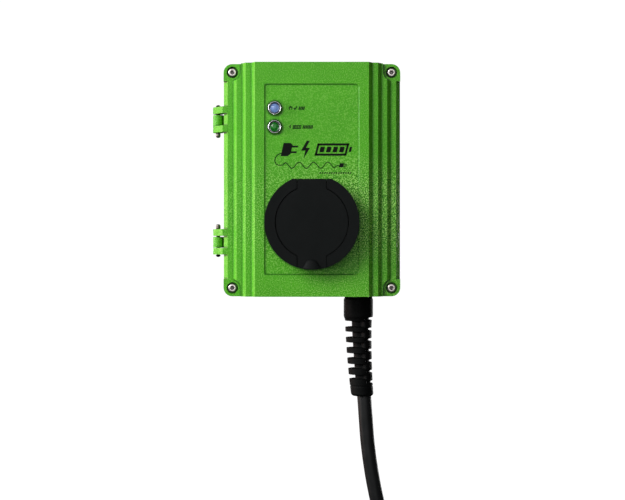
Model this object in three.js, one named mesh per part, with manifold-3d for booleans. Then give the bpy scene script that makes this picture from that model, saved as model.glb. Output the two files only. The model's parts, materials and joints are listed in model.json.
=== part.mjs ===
// EV charging wall box: a die-cast enclosure with a hinged stepped lid, a socket outlet behind a
// sprung flap, two indicator lamps and a supply cable with a strain relief boot.
//
// Units are millimetres. X runs to the right as seen from the front, Z runs up, and the front
// faces -Y. The origin is the centre of the back face, which lies against the wall.

import * as THREE from 'three';
import * as BufferGeometryUtils from 'three/addons/utils/BufferGeometryUtils.js';
import Module from 'manifold-3d';

const wasm = await Module();
wasm.setup();

// ---------------------------------------------------------------- driving dimensions

const GAP = 0.3;                    // clearance between neighbouring pieces
const FAR = 130;                    // beyond any face of the box, for cutting tools

const box = {
  halfWidth: 90,
  halfHeight: 118.25,
  cornerRadius: 9,
  partingY: -72,                    // plane where the lid meets the housing
  rim: 6,                           // wall thickness at the rim
  innerRadius: 5,                   // corner radius of the cavity
  back: 4,                          // thickness of the wall plate
};

const lidSteps = {
  flangeY: -83.5,
  edgeY: -78,                       // foot of the slope along the lid's side edge
  edgeX: 85.8,                      // top of that slope
  footX: 80.1,                      // foot of the first step
  pitch: 9.5,
  run: 3.7,                         // how far each slope runs in X
  rise: 5.5,                        // how far each slope rises towards the front
  count: 3,
  skin: 3.2,
  skinShift: 1.7,                   // inward shift of the inner slopes that keeps the skin even
};
const plateauY = lidSteps.flangeY - lidSteps.count * lidSteps.rise;

// Shallow recess for the label. Its walls are drafted at 45 degrees.
const recess = { halfWidth: 47, halfHeight: 95.4, radius: 2.2, depth: 0.8 };
const panelY = plateauY + recess.depth;          // front of the label panel
const panelBackY = plateauY + lidSteps.skin + recess.depth;

const lidScrew = {
  x: 81,
  z: 109.7,
  headRadius: 4.25,
  headHeight: 5,
  shankRadius: 2.5,
  seatY: -79,                       // floor of the counterbore
  counterboreRadius: 5.9,
  tipY: -64,
  hexRadius: 2.3,
  hexDepth: 2.8,
  headChamfer: 0.5,
  tipTaper: 0.9,
  shankPlay: 0.25,
  bossRadius: 11.6,
  housingHoleRadius: 3.4,           // leaves room for the screw's arc as the lid swings
  housingHoleEndY: -57,
};
const cornerPocket = { x: 72, z: 100.7, radius: 9 };
const seal = { x: 86.9, z: 115.2, width: 2.1, depth: 1.9, cornerRadius: 9, play: 0.15 };

const hinge = {
  x: -96.4,
  y: -69,
  z: 62.5,
  radius: 5.3,
  pinRadius: 2,
  boreRadius: 2.07,
  upper: [6.0, 12.8],               // heights of the three knuckles from the hinge's middle
  middle: [-6.2, 4.9],
  lower: [-13.2, -6.5],
  padX: -91,                        // left end of the pad at flange level
  armReach: 4,                      // how far an arm runs into the wall
  armBack: 20,                      // how far the housing's arm runs back along the wall
  headRadius: 2.4,
  headLength: 4.8,
  tipLength: 2.6,
  tipRadius: 1.5,                   // turned-down tip that carries the retaining clip
  clipRadius: 2.35,
  clipHeight: 1.6,
};

const socket = {
  z: -43.6,
  radius: 47,
  flatTop: 42.9,                    // height of the flat above the socket's centre
  frontY: -124,
  wellRadius: 36.4,                 // seat for the flap's disc
  wellDepth: 6.5,
  boreRadius: 35,
  hingeSlotHalfWidth: 14.9,
  liftSlotHalfWidth: 14.9,
  gasketThickness: 0.9,
  bodyRadius: 34.7,
  mouthRadius: 31.5,
  bodyFrontY: -117,
  bodyBackY: -60,
  bodyFloor: 4,
  islandRadius: 24.5,
  islandFlat: 19.5,
  islandFrontY: -104.5,
  panelHoleRadius: 36,
  slotInnerZ: 25,                   // height above and below the centre where the slots begin
  pinPocketDepth: 6.4,              // depth behind the pin of the pocket for the tab's edge
  pinPocketBelow: 3.6,
  pinHalfLength: 19,
  clampRadius: 42,
  clampThickness: 4.5,
};

const flap = {
  radius: 35.7,
  thickness: 5.5,
  frontY: -123.8,
  tabHalfWidth: 14.3,
  liftHalfWidth: 14.3,
  hingeZ: socket.z + 39.5,
  hingeY: -119.9,
  barrelRadius: 3.3,
  pinRadius: 1.5,
  boreRadius: 1.56,
  reliefInner: 7.7,                 // the disc's back is relieved by a cone about the pin
  reliefOuter: 11.45,
  reliefWidth: 7.5,
  liftWidth: 18.6,
  liftTopWidth: 7,
  liftHeight: 9.8,
  liftDepth: 3.2,
};

const lamps = {
  x: -37.5,
  readyZ: 71.6,
  chargingZ: 52.7,
  bezelRadius: 7.5,
  faceRadius: 6.5,                  // outer radius of the narrow ring at the bezel's front
  mouthRadius: 5.2,
  barrelRadius: 5.9,
  lensRadius: 4.8,
  standOut: 3.6,
  lensRecess: 0.6,                  // how far the lens's crown sits behind the bezel's face
  crownRise: 2,                     // how far the lens's crown stands proud of its rim
  boreDepth: 4,                     // depth behind the panel of the bore that holds the lens
  lensDepth: 3.6,
  skirtHeight: 0.9,                 // cylindrical skirt below the bezel's cone
  lip: 0.5,
  wireHoleRadius: 2,
  holePlay: 0.2,
  nutRadius: 8.2,
  nutThickness: 3,
  nutPlay: 0.25,
  backY: -82,
};

const cable = { y: -34, radius: 7.45, startZ: -101, entryX: 49 };
const gland = { threadRadius: 12.5, holeRadius: 12.8, flangeRadius: 16.6, washerRadius: 16.2 };
const boot = {
  topZ: -121.9,
  shoulderZ: -140,
  neckZ: -145,
  endZ: -224.6,
  topRadius: 15.5,
  neckRadius: 14.2,
  endRadius: 11.8,
  firstSlotZ: -148.8,               // middle of the first slot
  pitch: 11.1,
  slots: 6,
  slotHeight: 5.9,                  // height of the first slot, and how much each next one loses
  slotShrink: 0.4,
  notchHeight: 2.4,
  notchDepth: 3.3,                  // depth of the first notch, and how much each next one loses
  notchShrink: 0.25,
  coreRadius: 8.1,
  bend: 3.8,                        // sideways bend at one bend length below the shoulder
  bendLength: 80,
};

const plate = {
  halfWidth: 74,
  halfHeight: 90,
  y: -12,
  thickness: 1.5,
  postX: 68,                        // places of the posts that carry the plate
  postZ: 84,
  postRadius: 4.5,
  threadRadius: 1.8,
  holeRadius: 2.3,
};
const wallHoles = { x: 66, z: 100, radius: 3.25 };
const earth = { x: -66, z: -62, radius: 3, headRadius: 4.6 };
const rail = { z: 60, width: 35, height: 7.5, thickness: 1, x0: -20, x1: 72 };

// ---------------------------------------------------------------- materials

function surface(color, roughness, metalness) {
  return new THREE.MeshStandardMaterial({ color, roughness, metalness });
}

const paint = surface(0x5aaa32, 0.45, 0.1);
const stainless = surface(0xb8bcc0, 0.3, 1);
const blackSteel = surface(0x1b1d1e, 0.4, 0.8);
const chrome = surface(0xd5d8dc, 0.12, 1);
const zincSteel = surface(0xa9adb0, 0.4, 0.9);
const brass = surface(0xb59a4e, 0.35, 1);
const silver = surface(0xcfd0d2, 0.25, 1);
const mattBlack = surface(0x191c1d, 0.65, 0);
const rubber = surface(0x0c0d0d, 0.85, 0);
const sheath = surface(0x141617, 0.55, 0);
const greyPlastic = surface(0xc9ccce, 0.5, 0);
const darkGrey = surface(0x45494c, 0.5, 0);
const board = surface(0x1f6b3a, 0.45, 0.05);
const blueLens = surface(0x8796d2, 0.15, 0);
const greenLens = surface(0x0a6e14, 0.12, 0);
const coreColors = {
  brown: surface(0x5d3a1f, 0.5, 0),
  black: surface(0x17181a, 0.5, 0),
  grey: surface(0x83878b, 0.5, 0),
  blue: surface(0x1f4fa0, 0.5, 0),
  earth: surface(0x9bb021, 0.5, 0),
};

// ---------------------------------------------------------------- solids

// Closed three.js geometry as a solid that can be joined and cut.
function solid(geometry) {
  const bare = geometry.clone();
  bare.deleteAttribute('normal');
  bare.deleteAttribute('uv');
  const merged = BufferGeometryUtils.mergeVertices(bare);
  const corners = merged.getAttribute('position').array;
  const mesh = new wasm.Mesh({
    numProp: 3,
    vertProperties: new Float32Array(corners),
    triVerts: new Uint32Array(merged.getIndex().array),
  });
  return new wasm.Manifold(mesh);
}

function geometryOf(manifold) {
  const mesh = manifold.getMesh();
  const geometry = new THREE.BufferGeometry();
  geometry.setAttribute('position', new THREE.BufferAttribute(mesh.vertProperties, 3));
  geometry.setIndex(new THREE.BufferAttribute(mesh.triVerts, 1));
  geometry.computeVertexNormals();
  return geometry;
}

function join(...solids) {
  return solids.reduce((whole, next) => whole.add(next));
}

function cut(whole, ...tools) {
  return tools.reduce((rest, tool) => rest.subtract(tool), whole);
}

// Block between two values on each axis.
function block([x0, x1], [y0, y1], [z0, z1]) {
  const geometry = new THREE.BoxGeometry(x1 - x0, y1 - y0, z1 - z0);
  geometry.translate((x0 + x1) / 2, (y0 + y1) / 2, (z0 + z1) / 2);
  return solid(geometry);
}

function basis(xAxis, yAxis, zAxis) {
  return new THREE.Matrix4().makeBasis(
    new THREE.Vector3(...xAxis), new THREE.Vector3(...yAxis), new THREE.Vector3(...zAxis));
}

// The outlines below are drawn in a plane and pushed along the third axis.
const DRAWN_IN_XZ = basis([1, 0, 0], [0, 0, 1], [0, -1, 0]);
const DRAWN_IN_YZ = basis([0, 1, 0], [0, 0, 1], [1, 0, 0]);

function pushed(outline, length, curveSegments) {
  return new THREE.ExtrudeGeometry(outline, { depth: length, bevelEnabled: false, curveSegments });
}

// Outline in X and Z, from its back face forward to its front face.
function alongY(outline, backY, frontY, curveSegments = 8) {
  const geometry = pushed(outline, backY - frontY, curveSegments);
  geometry.applyMatrix4(DRAWN_IN_XZ);
  geometry.translate(0, backY, 0);
  return solid(geometry);
}

// Outline in X and Z that starts at backY and widens towards the front at 45 degrees.
function wideningForward(outline, backY, frontY, curveSegments) {
  const reach = backY - frontY;
  const geometry = new THREE.ExtrudeGeometry(outline, {
    depth: 1, bevelThickness: reach, bevelSize: reach, bevelSegments: 1, curveSegments,
  });
  geometry.applyMatrix4(DRAWN_IN_XZ);
  geometry.translate(0, backY - reach, 0);
  return solid(geometry);
}

// Outline in Y and Z, from x0 to x1.
function alongX(outline, x0, x1, curveSegments = 8) {
  const geometry = pushed(outline, x1 - x0, curveSegments);
  geometry.applyMatrix4(DRAWN_IN_YZ);
  geometry.translate(x0, 0, 0);
  return solid(geometry);
}

// Outline in X and Y, from z0 up to z1.
function alongZ(outline, z0, z1, curveSegments = 8) {
  const geometry = pushed(outline, z1 - z0, curveSegments);
  geometry.translate(0, 0, z0);
  return solid(geometry);
}

function rodY(radius, y0, y1, x, z, segments = 24) {
  const geometry = new THREE.CylinderGeometry(radius, radius, y1 - y0, segments);
  geometry.translate(x, (y0 + y1) / 2, z);
  return solid(geometry);
}

function rodZ(radius, z0, z1, x, y, segments = 24) {
  const geometry = new THREE.CylinderGeometry(radius, radius, z1 - z0, segments);
  geometry.rotateX(Math.PI / 2);
  geometry.translate(x, y, (z0 + z1) / 2);
  return solid(geometry);
}

function rodX(radius, x0, x1, y, z, segments = 24) {
  const geometry = new THREE.CylinderGeometry(radius, radius, x1 - x0, segments);
  geometry.rotateZ(Math.PI / 2);
  geometry.translate((x0 + x1) / 2, y, z);
  return solid(geometry);
}

// Turned piece about the Y axis. The profile is a list of [radius, y] points.
function turned(profile, segments = 24) {
  const points = profile.map(([radius, y]) => new THREE.Vector2(radius, y));
  let whole = solid(new THREE.LatheGeometry(points, segments));
  if (whole.volume() < 0) {
    const reversed = [...points].reverse();
    whole = solid(new THREE.LatheGeometry(reversed, segments));
  }
  return whole;
}

// Round bar along a curve.
function barAlong(curve, radius, steps, curveSegments) {
  const circle = new THREE.Shape();
  circle.absarc(0, 0, radius, 0, 2 * Math.PI, false);
  return solid(new THREE.ExtrudeGeometry(circle, { steps, extrudePath: curve, curveSegments }));
}

function polygon(points) {
  return new THREE.Shape(points.map(([u, v]) => new THREE.Vector2(u, v)));
}

function roundedRectangle(halfWidth, halfHeight, radius) {
  const shape = new THREE.Shape();
  const u = halfWidth - radius;
  const v = halfHeight - radius;
  shape.absarc(u, v, radius, 0, Math.PI / 2, false);
  shape.absarc(-u, v, radius, Math.PI / 2, Math.PI, false);
  shape.absarc(-u, -v, radius, Math.PI, 1.5 * Math.PI, false);
  shape.absarc(u, -v, radius, 1.5 * Math.PI, 2 * Math.PI, false);
  return shape;
}

function hexagon(radius, u, v) {
  const corners = [];
  for (let i = 0; i < 6; i += 1) {
    const angle = (i * Math.PI) / 3;
    corners.push([u + radius * Math.cos(angle), v + radius * Math.sin(angle)]);
  }
  return polygon(corners);
}

// The four corners, as signs of X and Z.
const CORNERS = [[1, 1], [-1, 1], [-1, -1], [1, -1]];

// ---------------------------------------------------------------- scene graph

const group = new THREE.Group();
const housing = new THREE.Group();
const lid = new THREE.Group();
const flapGroup = new THREE.Group();
group.add(housing, lid);
lid.add(flapGroup);

function addPiece(parent, name, shape, material, position = [0, 0, 0]) {
  const mesh = new THREE.Mesh(geometryOf(shape), material);
  mesh.name = name;
  mesh.position.set(...position);
  parent.add(mesh);
  return mesh;
}

// ---------------------------------------------------------------- hinges

function knuckle([low, high], middleZ) {
  return rodZ(hinge.radius, middleZ + low, middleZ + high, hinge.x, hinge.y, 20);
}

function hingeBore(middleZ) {
  const reach = 20;
  return rodZ(hinge.boreRadius, middleZ - reach, middleZ + reach, hinge.x, hinge.y, 16);
}

// Arm of a lid knuckle: a pad level with the flange that slopes down to the knuckle.
function lidArm([low, high], middleZ) {
  const wallX = -box.halfWidth;
  const outline = polygon([
    [wallX + hinge.armReach, lidSteps.flangeY],
    [hinge.padX, lidSteps.flangeY],
    [hinge.x - 0.81 * hinge.radius, hinge.y - 0.58 * hinge.radius],
    [hinge.x, hinge.y],
    [hinge.x + hinge.radius, hinge.y],
    [hinge.x + hinge.radius, box.partingY - GAP],
    [wallX + hinge.armReach, box.partingY - GAP],
  ]);
  return alongZ(outline, middleZ + low, middleZ + high);
}

// Arm of the housing's knuckle, which runs back to the side wall.
function housingArm([low, high], middleZ) {
  const wallX = -box.halfWidth;
  const outline = polygon([
    [hinge.x - 0.92 * hinge.radius, hinge.y + 0.38 * hinge.radius],
    [hinge.x, hinge.y],
    [wallX + 1, hinge.y],
    [wallX + 1, hinge.y + hinge.armBack],
    [wallX, hinge.y + hinge.armBack],
  ]);
  return alongZ(outline, middleZ + low, middleZ + high);
}

// Loose pin. Its head points to headSign along Z, its tip the other way.
function hingePin(middleZ, headSign) {
  const headSide = headSign > 0 ? hinge.upper[1] : -hinge.lower[0];
  const tipSide = headSign > 0 ? -hinge.lower[0] : hinge.upper[1];
  const headStart = headSide + GAP;
  const headEnd = headStart + hinge.headLength;
  const profile = [
    [0, -tipSide - hinge.tipLength],
    [hinge.tipRadius - 0.4, -tipSide - hinge.tipLength],
    [hinge.tipRadius, -tipSide - hinge.tipLength + 0.4],
    [hinge.tipRadius, -tipSide],
    [hinge.pinRadius, -tipSide],
    [hinge.pinRadius, headStart],
    [hinge.headRadius, headStart],
    [hinge.headRadius, headEnd - 1.4],
    [hinge.headRadius - 0.8, headEnd - 0.4],
    [0, headEnd],
  ];
  const upright = turned(profile, 16).rotate([headSign * 90, 0, 0]);
  return upright.translate([hinge.x, hinge.y, middleZ]);
}

// Retaining clip on the tip of a hinge pin.
function hingeClip(middleZ, headSign) {
  const tipSide = headSign > 0 ? -hinge.lower[0] : hinge.upper[1];
  const near = middleZ - headSign * (tipSide + GAP);
  const far = near - headSign * hinge.clipHeight;
  const [low, high] = [Math.min(near, far), Math.max(near, far)];
  const ring = rodZ(hinge.clipRadius, low, high, hinge.x, hinge.y, 18);
  return cut(ring, rodZ(hinge.tipRadius + 0.06, low - 1, high + 1, hinge.x, hinge.y, 18));
}

// ---------------------------------------------------------------- housing

function buildHousing() {
  const frontY = box.partingY + 0.15;
  const outside = alongY(
    roundedRectangle(box.halfWidth, box.halfHeight, box.cornerRadius), 0, frontY, 4);
  let cavity = alongY(
    roundedRectangle(box.halfWidth - box.rim, box.halfHeight - box.rim, box.innerRadius),
    -box.back, frontY - 5, 2);
  for (const [sx, sz] of CORNERS) {
    const boss = rodY(lidScrew.bossRadius, frontY - 6, 0, sx * lidScrew.x, sz * lidScrew.z, 20);
    cavity = cut(cavity, boss);
  }
  let whole = cut(outside, cavity);
  for (const [sx, sz] of CORNERS) {
    const postX = sx * plate.postX;
    const postZ = sz * plate.postZ;
    const post = rodY(plate.postRadius, plate.y + GAP, -box.back + 1, postX, postZ, 12);
    const thread = rodY(plate.threadRadius, plate.y - 1, -box.back, postX, postZ, 8);
    const screwHole = rodY(lidScrew.housingHoleRadius, frontY - 1, lidScrew.housingHoleEndY,
      sx * lidScrew.x, sz * lidScrew.z, 16);
    const wallHole = rodY(
      wallHoles.radius, -box.back - 1, 1, sx * wallHoles.x, sz * wallHoles.z, 12);
    whole = cut(join(whole, post), thread, screwHole, wallHole);
  }
  for (const middleZ of [hinge.z, -hinge.z]) {
    whole = join(whole, knuckle(hinge.middle, middleZ), housingArm(hinge.middle, middleZ));
    whole = cut(whole, hingeBore(middleZ));
  }
  const entry = rodZ(gland.holeRadius, -box.halfHeight - 1, -box.halfHeight + box.rim + 1,
    cable.entryX, cable.y, 24);
  return cut(whole, entry);
}

addPiece(housing, 'base_housing', buildHousing(), paint);
addPiece(housing, 'hinge_pin_upper', hingePin(hinge.z, -1), stainless);
addPiece(housing, 'hinge_pin_lower', hingePin(-hinge.z, 1), stainless);
addPiece(housing, 'hinge_clip_upper', hingeClip(hinge.z, -1), blackSteel);
addPiece(housing, 'hinge_clip_lower', hingeClip(-hinge.z, 1), blackSteel);

// ---------------------------------------------------------------- lid

function lidOutline() {
  const { edgeX, edgeY, flangeY, footX, pitch, run, rise, count } = lidSteps;
  const right = [[box.halfWidth, box.partingY - 0.15], [box.halfWidth, edgeY], [edgeX, flangeY]];
  for (let i = 0; i < count; i += 1) {
    right.push([footX - i * pitch, flangeY - i * rise]);
    right.push([footX - i * pitch - run, flangeY - (i + 1) * rise]);
  }
  const left = right.map(([x, y]) => [-x, y]).reverse();
  return polygon([...right, ...left]);
}

function lidCavityOutline() {
  const { flangeY, footX, pitch, run, rise, count, skin, skinShift } = lidSteps;
  const wallX = box.halfWidth - box.rim;
  const right = [[wallX, box.partingY + 1], [wallX, flangeY + skin]];
  for (let i = 0; i < count; i += 1) {
    const x = footX - i * pitch - skinShift;
    const drop = i === count - 1 ? recess.depth : 0;
    right.push([x, flangeY + skin - i * rise]);
    right.push([x - run, flangeY + skin + drop - (i + 1) * rise]);
  }
  const left = right.map(([x, y]) => [-x, y]).reverse();
  return polygon([...right, ...left]);
}

// Line of the lid seal, moved outward by an offset. It passes inside each lid screw.
function sealLine(offset, LoopType) {
  const loop = new LoopType();
  const x = seal.x + offset;
  const z = seal.z + offset;
  const radius = seal.cornerRadius - offset;
  const sideAngle = Math.acos((x - lidScrew.x) / radius);
  const topAngle = Math.asin((z - lidScrew.z) / radius);
  const firstAngles = [-sideAngle, -Math.PI - topAngle];
  const mirrored = (angle, [sx, sz]) => Math.atan2(sz * Math.sin(angle), sx * Math.cos(angle));
  for (const corner of CORNERS) {
    const [sx, sz] = corner;
    const clockwise = sx * sz > 0;
    const order = clockwise ? firstAngles : [...firstAngles].reverse();
    const [start, end] = order.map((angle) => mirrored(angle, corner));
    loop.absarc(sx * lidScrew.x, sz * lidScrew.z, radius, start, end, true);
  }
  return loop;
}

function sealRing(halfWidth, backY, frontY) {
  const outline = sealLine(halfWidth, THREE.Shape);
  outline.holes.push(sealLine(-halfWidth, THREE.Path));
  return alongY(outline, backY, frontY, 4);
}

function buildLid() {
  const { halfWidth, halfHeight, rim, cornerRadius, partingY } = box;
  const padTop = lidSteps.flangeY;
  let outside = alongZ(lidOutline(), -halfHeight, halfHeight);
  let cavity = alongZ(lidCavityOutline(), -halfHeight + rim, halfHeight - rim);
  const pockets = [];
  for (const [sx, sz] of CORNERS) {
    const pad = block(
      sx > 0 ? [cornerPocket.x, halfWidth] : [-halfWidth, -cornerPocket.x],
      [padTop, partingY - 1],
      sz > 0 ? [cornerPocket.z, halfHeight] : [-halfHeight, -cornerPocket.z]);
    outside = join(outside, pad);
    pockets.push(cornerPocketCut(sx, sz));
    const boss = rodY(lidScrew.bossRadius, padTop, 0, sx * lidScrew.x, sz * lidScrew.z, 20);
    cavity = cut(cavity, boss, pocketSkin(sx, sz));
  }
  const rounded = alongY(roundedRectangle(halfWidth, halfHeight, cornerRadius), 0, -FAR, 4);
  let whole = cut(outside.intersect(rounded), cavity, ...pockets);
  for (const middleZ of [hinge.z, -hinge.z]) {
    for (const span of [hinge.upper, hinge.lower]) {
      whole = join(whole, knuckle(span, middleZ), lidArm(span, middleZ));
    }
    whole = cut(whole, hingeBore(middleZ));
  }
  for (const [sx, sz] of CORNERS) {
    const x = sx * lidScrew.x;
    const z = sz * lidScrew.z;
    const through = rodY(lidScrew.shankRadius + lidScrew.shankPlay, -FAR, 0, x, z, 14);
    const counterbore = rodY(lidScrew.counterboreRadius, -FAR, lidScrew.seatY, x, z, 20);
    whole = cut(whole, through, counterbore);
  }
  const label = wideningForward(
    roundedRectangle(recess.halfWidth, recess.halfHeight, recess.radius), panelY, plateauY - 1, 2);
  const mouth = rodY(socket.panelHoleRadius, -FAR, 0, 0, socket.z, 32);
  const lampHole = lamps.barrelRadius + lamps.holePlay;
  const readyHole = rodY(lampHole, -FAR, 0, lamps.x, lamps.readyZ, 16);
  const chargingHole = rodY(lampHole, -FAR, 0, lamps.x, lamps.chargingZ, 16);
  const groove = sealRing(
    seal.width / 2 + seal.play, partingY + 1, partingY - seal.play - seal.depth);
  return cut(whole, label, mouth, readyHole, chargingHole, groove);
}

// The corner pocket that lets the screw sit at flange level, open to the lid's corner.
function cornerPocketCut(sx, sz) {
  const { x, z, radius } = cornerPocket;
  const sharp = block(
    sx > 0 ? [x, FAR] : [-FAR, -x],
    [-FAR, lidSteps.flangeY],
    sz > 0 ? [z, FAR] : [-FAR, -z]);
  const innerCorner = block(
    sx > 0 ? [x, x + radius] : [-x - radius, -x],
    [-FAR, lidSteps.flangeY],
    sz > 0 ? [z, z + radius] : [-z - radius, -z]);
  const round = rodY(radius, -FAR, lidSteps.flangeY, sx * (x + radius), sz * (z + radius), 24);
  return join(cut(sharp, innerCorner), round);
}

// Material kept behind a corner pocket.
function pocketSkin(sx, sz) {
  const x = cornerPocket.x - lidSteps.skin;
  const z = cornerPocket.z - lidSteps.skin;
  return block(
    sx > 0 ? [x, FAR] : [-FAR, -x],
    [-FAR, lidSteps.flangeY + lidSteps.skin],
    sz > 0 ? [z, FAR] : [-FAR, -z]);
}

function buildLidScrew() {
  const { headRadius, headHeight, headChamfer, shankRadius, tipTaper, hexRadius } = lidScrew;
  const underHead = -GAP / 2;
  const shankLength = lidScrew.tipY - lidScrew.seatY;
  const profile = [
    [0, -headHeight],
    [headRadius - headChamfer, -headHeight],
    [headRadius, -headHeight + headChamfer],
    [headRadius, underHead],
    [shankRadius, underHead],
    [shankRadius, shankLength - tipTaper],
    [shankRadius - tipTaper, shankLength],
    [0, shankLength],
  ];
  const hex = alongY(
    hexagon(hexRadius, 0, 0), -headHeight + lidScrew.hexDepth, -headHeight - 1);
  return cut(turned(profile, 16), hex);
}

addPiece(lid, 'lid_cover', buildLid(), paint);
addPiece(lid, 'lid_gasket',
  sealRing(seal.width / 2, box.partingY + 0.05, box.partingY - seal.depth), rubber);
const lidScrewShape = buildLidScrew();
CORNERS.forEach(([sx, sz], i) => {
  addPiece(lid, `lid_screw_${i + 1}`, lidScrewShape, stainless,
    [sx * lidScrew.x, lidScrew.seatY, sz * lidScrew.z]);
});

// ---------------------------------------------------------------- indicator lamps

function lampBezel() {
  const { bezelRadius, faceRadius, mouthRadius, barrelRadius, wireHoleRadius } = lamps;
  const { standOut, skirtHeight, lip, boreDepth } = lamps;
  const back = lamps.backY - panelY;
  const seat = -0.1;
  const edge = 0.3;
  return turned([
    [mouthRadius, -standOut + 2 * lip],
    [mouthRadius + lip, -standOut],
    [faceRadius - edge, -standOut],
    [faceRadius, -standOut + edge],
    [bezelRadius, -skirtHeight],
    [bezelRadius, seat],
    [barrelRadius, seat],
    [barrelRadius, back],
    [wireHoleRadius, back],
    [wireHoleRadius, boreDepth],
    [mouthRadius, boreDepth],
    [mouthRadius, -standOut + 2 * lip],
  ], 18);
}

function lampLens() {
  const { lensRadius, lensDepth, standOut, lensRecess, crownRise } = lamps;
  const crown = -standOut + lensRecess;
  const bands = 4;
  const profile = [];
  for (let i = 0; i <= bands; i += 1) {
    const angle = (i / bands) * (Math.PI / 2);
    profile.push([lensRadius * Math.sin(angle), crown + crownRise * (1 - Math.cos(angle))]);
  }
  profile[0][0] = 0;
  profile.push([lensRadius, lensDepth], [0, lensDepth]);
  return turned(profile, 16);
}

function lampNut() {
  const backY = panelBackY - panelY + 0.2;
  const ring = alongY(hexagon(lamps.nutRadius, 0, 0), backY + lamps.nutThickness, backY);
  const bore = rodY(lamps.barrelRadius + lamps.nutPlay, -FAR, FAR, 0, 0, 16);
  return cut(ring, bore);
}

for (const [name, z, lens] of [['ready', lamps.readyZ, blueLens],
  ['charging', lamps.chargingZ, greenLens]]) {
  const place = [lamps.x, panelY, z];
  addPiece(lid, `${name}_lamp_bezel`, lampBezel(), chrome, place);
  addPiece(lid, `${name}_lamp_lens`, lampLens(), lens, place);
  addPiece(lid, `${name}_lamp_nut`, lampNut(), zincSteel, place);
}

// ---------------------------------------------------------------- socket outlet

// Round outline with a flat top, about the socket's centre.
function flatToppedCircle(radius, flatTop, centreZ) {
  const angle = Math.asin(flatTop / radius);
  const shape = new THREE.Shape();
  shape.absarc(0, centreZ, radius, Math.PI - angle, 2 * Math.PI + angle, false);
  return shape;
}

function socketFlange() {
  const { z, radius, flatTop, frontY, wellRadius, wellDepth, boreRadius } = socket;
  const backY = panelY - socket.gasketThickness - 0.1;
  const ring = alongY(flatToppedCircle(radius, flatTop, z), backY, frontY, 22);
  const bore = rodY(boreRadius, frontY - 1, backY + 1, 0, z, 36);
  const well = rodY(wellRadius, frontY - 1, frontY + wellDepth, 0, z, 36);
  const floorY = frontY + wellDepth;
  const top = z + radius + 1;
  const slotX = socket.hingeSlotHalfWidth;
  const liftX = socket.liftSlotHalfWidth;
  const slotEnd = socket.slotInnerZ;
  const hingeSlot = block([-slotX, slotX], [frontY - 1, floorY], [z + slotEnd, top]);
  // The hinge slot is deeper around the pin, so that the tab's edge can swing back.
  const pocketY = flap.hingeY + socket.pinPocketDepth;
  const pocketZ = flap.hingeZ - socket.pinPocketBelow;
  const pocket = block([-slotX, slotX], [frontY - 1, pocketY], [pocketZ, top]);
  const liftSlot = block([-liftX, liftX], [frontY - 1, floorY], [z - radius - 1, z - slotEnd]);
  const pinReach = socket.pinHalfLength + 0.5;
  const pinHole = rodX(flap.boreRadius, -pinReach, pinReach, flap.hingeY, flap.hingeZ, 16);
  return cut(ring, bore, well, hingeSlot, pocket, liftSlot, pinHole);
}

function socketGasket() {
  const backY = panelY - 0.05;
  const ring = alongY(
    flatToppedCircle(socket.radius - 0.6, socket.flatTop - 0.6, socket.z),
    backY, backY - socket.gasketThickness, 16);
  return cut(ring, rodY(socket.panelHoleRadius + 0.5, -FAR, 0, 0, socket.z, 28));
}

// Power contacts sit on a circle with the earth contact at its centre. Two pilots sit above.
const POWER_CIRCLE = 15.2;
const POWER_DROP = POWER_CIRCLE * Math.sin(Math.PI / 3);
const contacts = [
  { name: 'contact_earth', x: 0, z: 0, radius: 4 },
  { name: 'contact_neutral', x: POWER_CIRCLE, z: 0, radius: 4 },
  { name: 'contact_line_1', x: -POWER_CIRCLE, z: 0, radius: 4 },
  { name: 'contact_line_2', x: -POWER_CIRCLE / 2, z: -POWER_DROP, radius: 4 },
  { name: 'contact_line_3', x: POWER_CIRCLE / 2, z: -POWER_DROP, radius: 4 },
  { name: 'contact_pilot', x: -POWER_CIRCLE / 2, z: 12.6, radius: 2.4 },
  { name: 'contact_proximity', x: POWER_CIRCLE / 2, z: 12.6, radius: 2.4 },
];

const lock = {
  y: -84,
  radius: 2,
  holeRadius: 2.25,
  length: 17,
  halfWidth: 11,
  frontDepth: 5.5,                  // gearbox in front of and behind the pin
  backDepth: 9,
  height: 22,
  motorRadius: 5.5,
  motorZ: 14,
  motorOverhang: 6,
};
const sleeve = { standOut: 2.5, boreRatio: 0.72, shoulderY: -56, endY: -50, floorY: -70, neck: 0.9 };

function socketBody() {
  const { z, bodyRadius, mouthRadius, bodyFrontY, bodyBackY, bodyFloor } = socket;
  const outside = rodY(bodyRadius, bodyFrontY, bodyBackY, 0, z, 32);
  const well = rodY(mouthRadius, bodyFrontY - 1, bodyBackY - bodyFloor, 0, z, 32);
  const island = alongY(
    flatToppedCircle(socket.islandRadius, socket.islandFlat, z),
    bodyBackY - 1, socket.islandFrontY, 12);
  let whole = join(cut(outside, well), island);
  for (const contact of contacts) {
    whole = cut(whole, rodY(contact.radius + GAP, -FAR, 0, contact.x, z + contact.z, 12));
  }
  const pinHole = rodZ(lock.holeRadius, z + socket.islandFlat + 1, z + FAR, 0, lock.y, 12);
  return cut(whole, pinHole);
}

function contactSleeve(radius) {
  const frontY = socket.islandFrontY + sleeve.standOut;
  const bore = radius * sleeve.boreRatio;
  const tail = radius - sleeve.neck;
  return turned([
    [bore, frontY],
    [radius, frontY],
    [radius, sleeve.shoulderY],
    [tail, sleeve.shoulderY],
    [tail, sleeve.endY],
    [0, sleeve.endY],
    [0, sleeve.floorY],
    [bore, sleeve.floorY],
    [bore, frontY],
  ], 10);
}

function clampRing() {
  const backY = panelBackY + GAP;
  const ring = rodY(
    socket.clampRadius, backY, backY + socket.clampThickness, 0, socket.z, 28);
  return cut(ring, rodY(socket.bodyRadius + 2 * GAP, -FAR, 0, 0, socket.z, 28));
}

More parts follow.
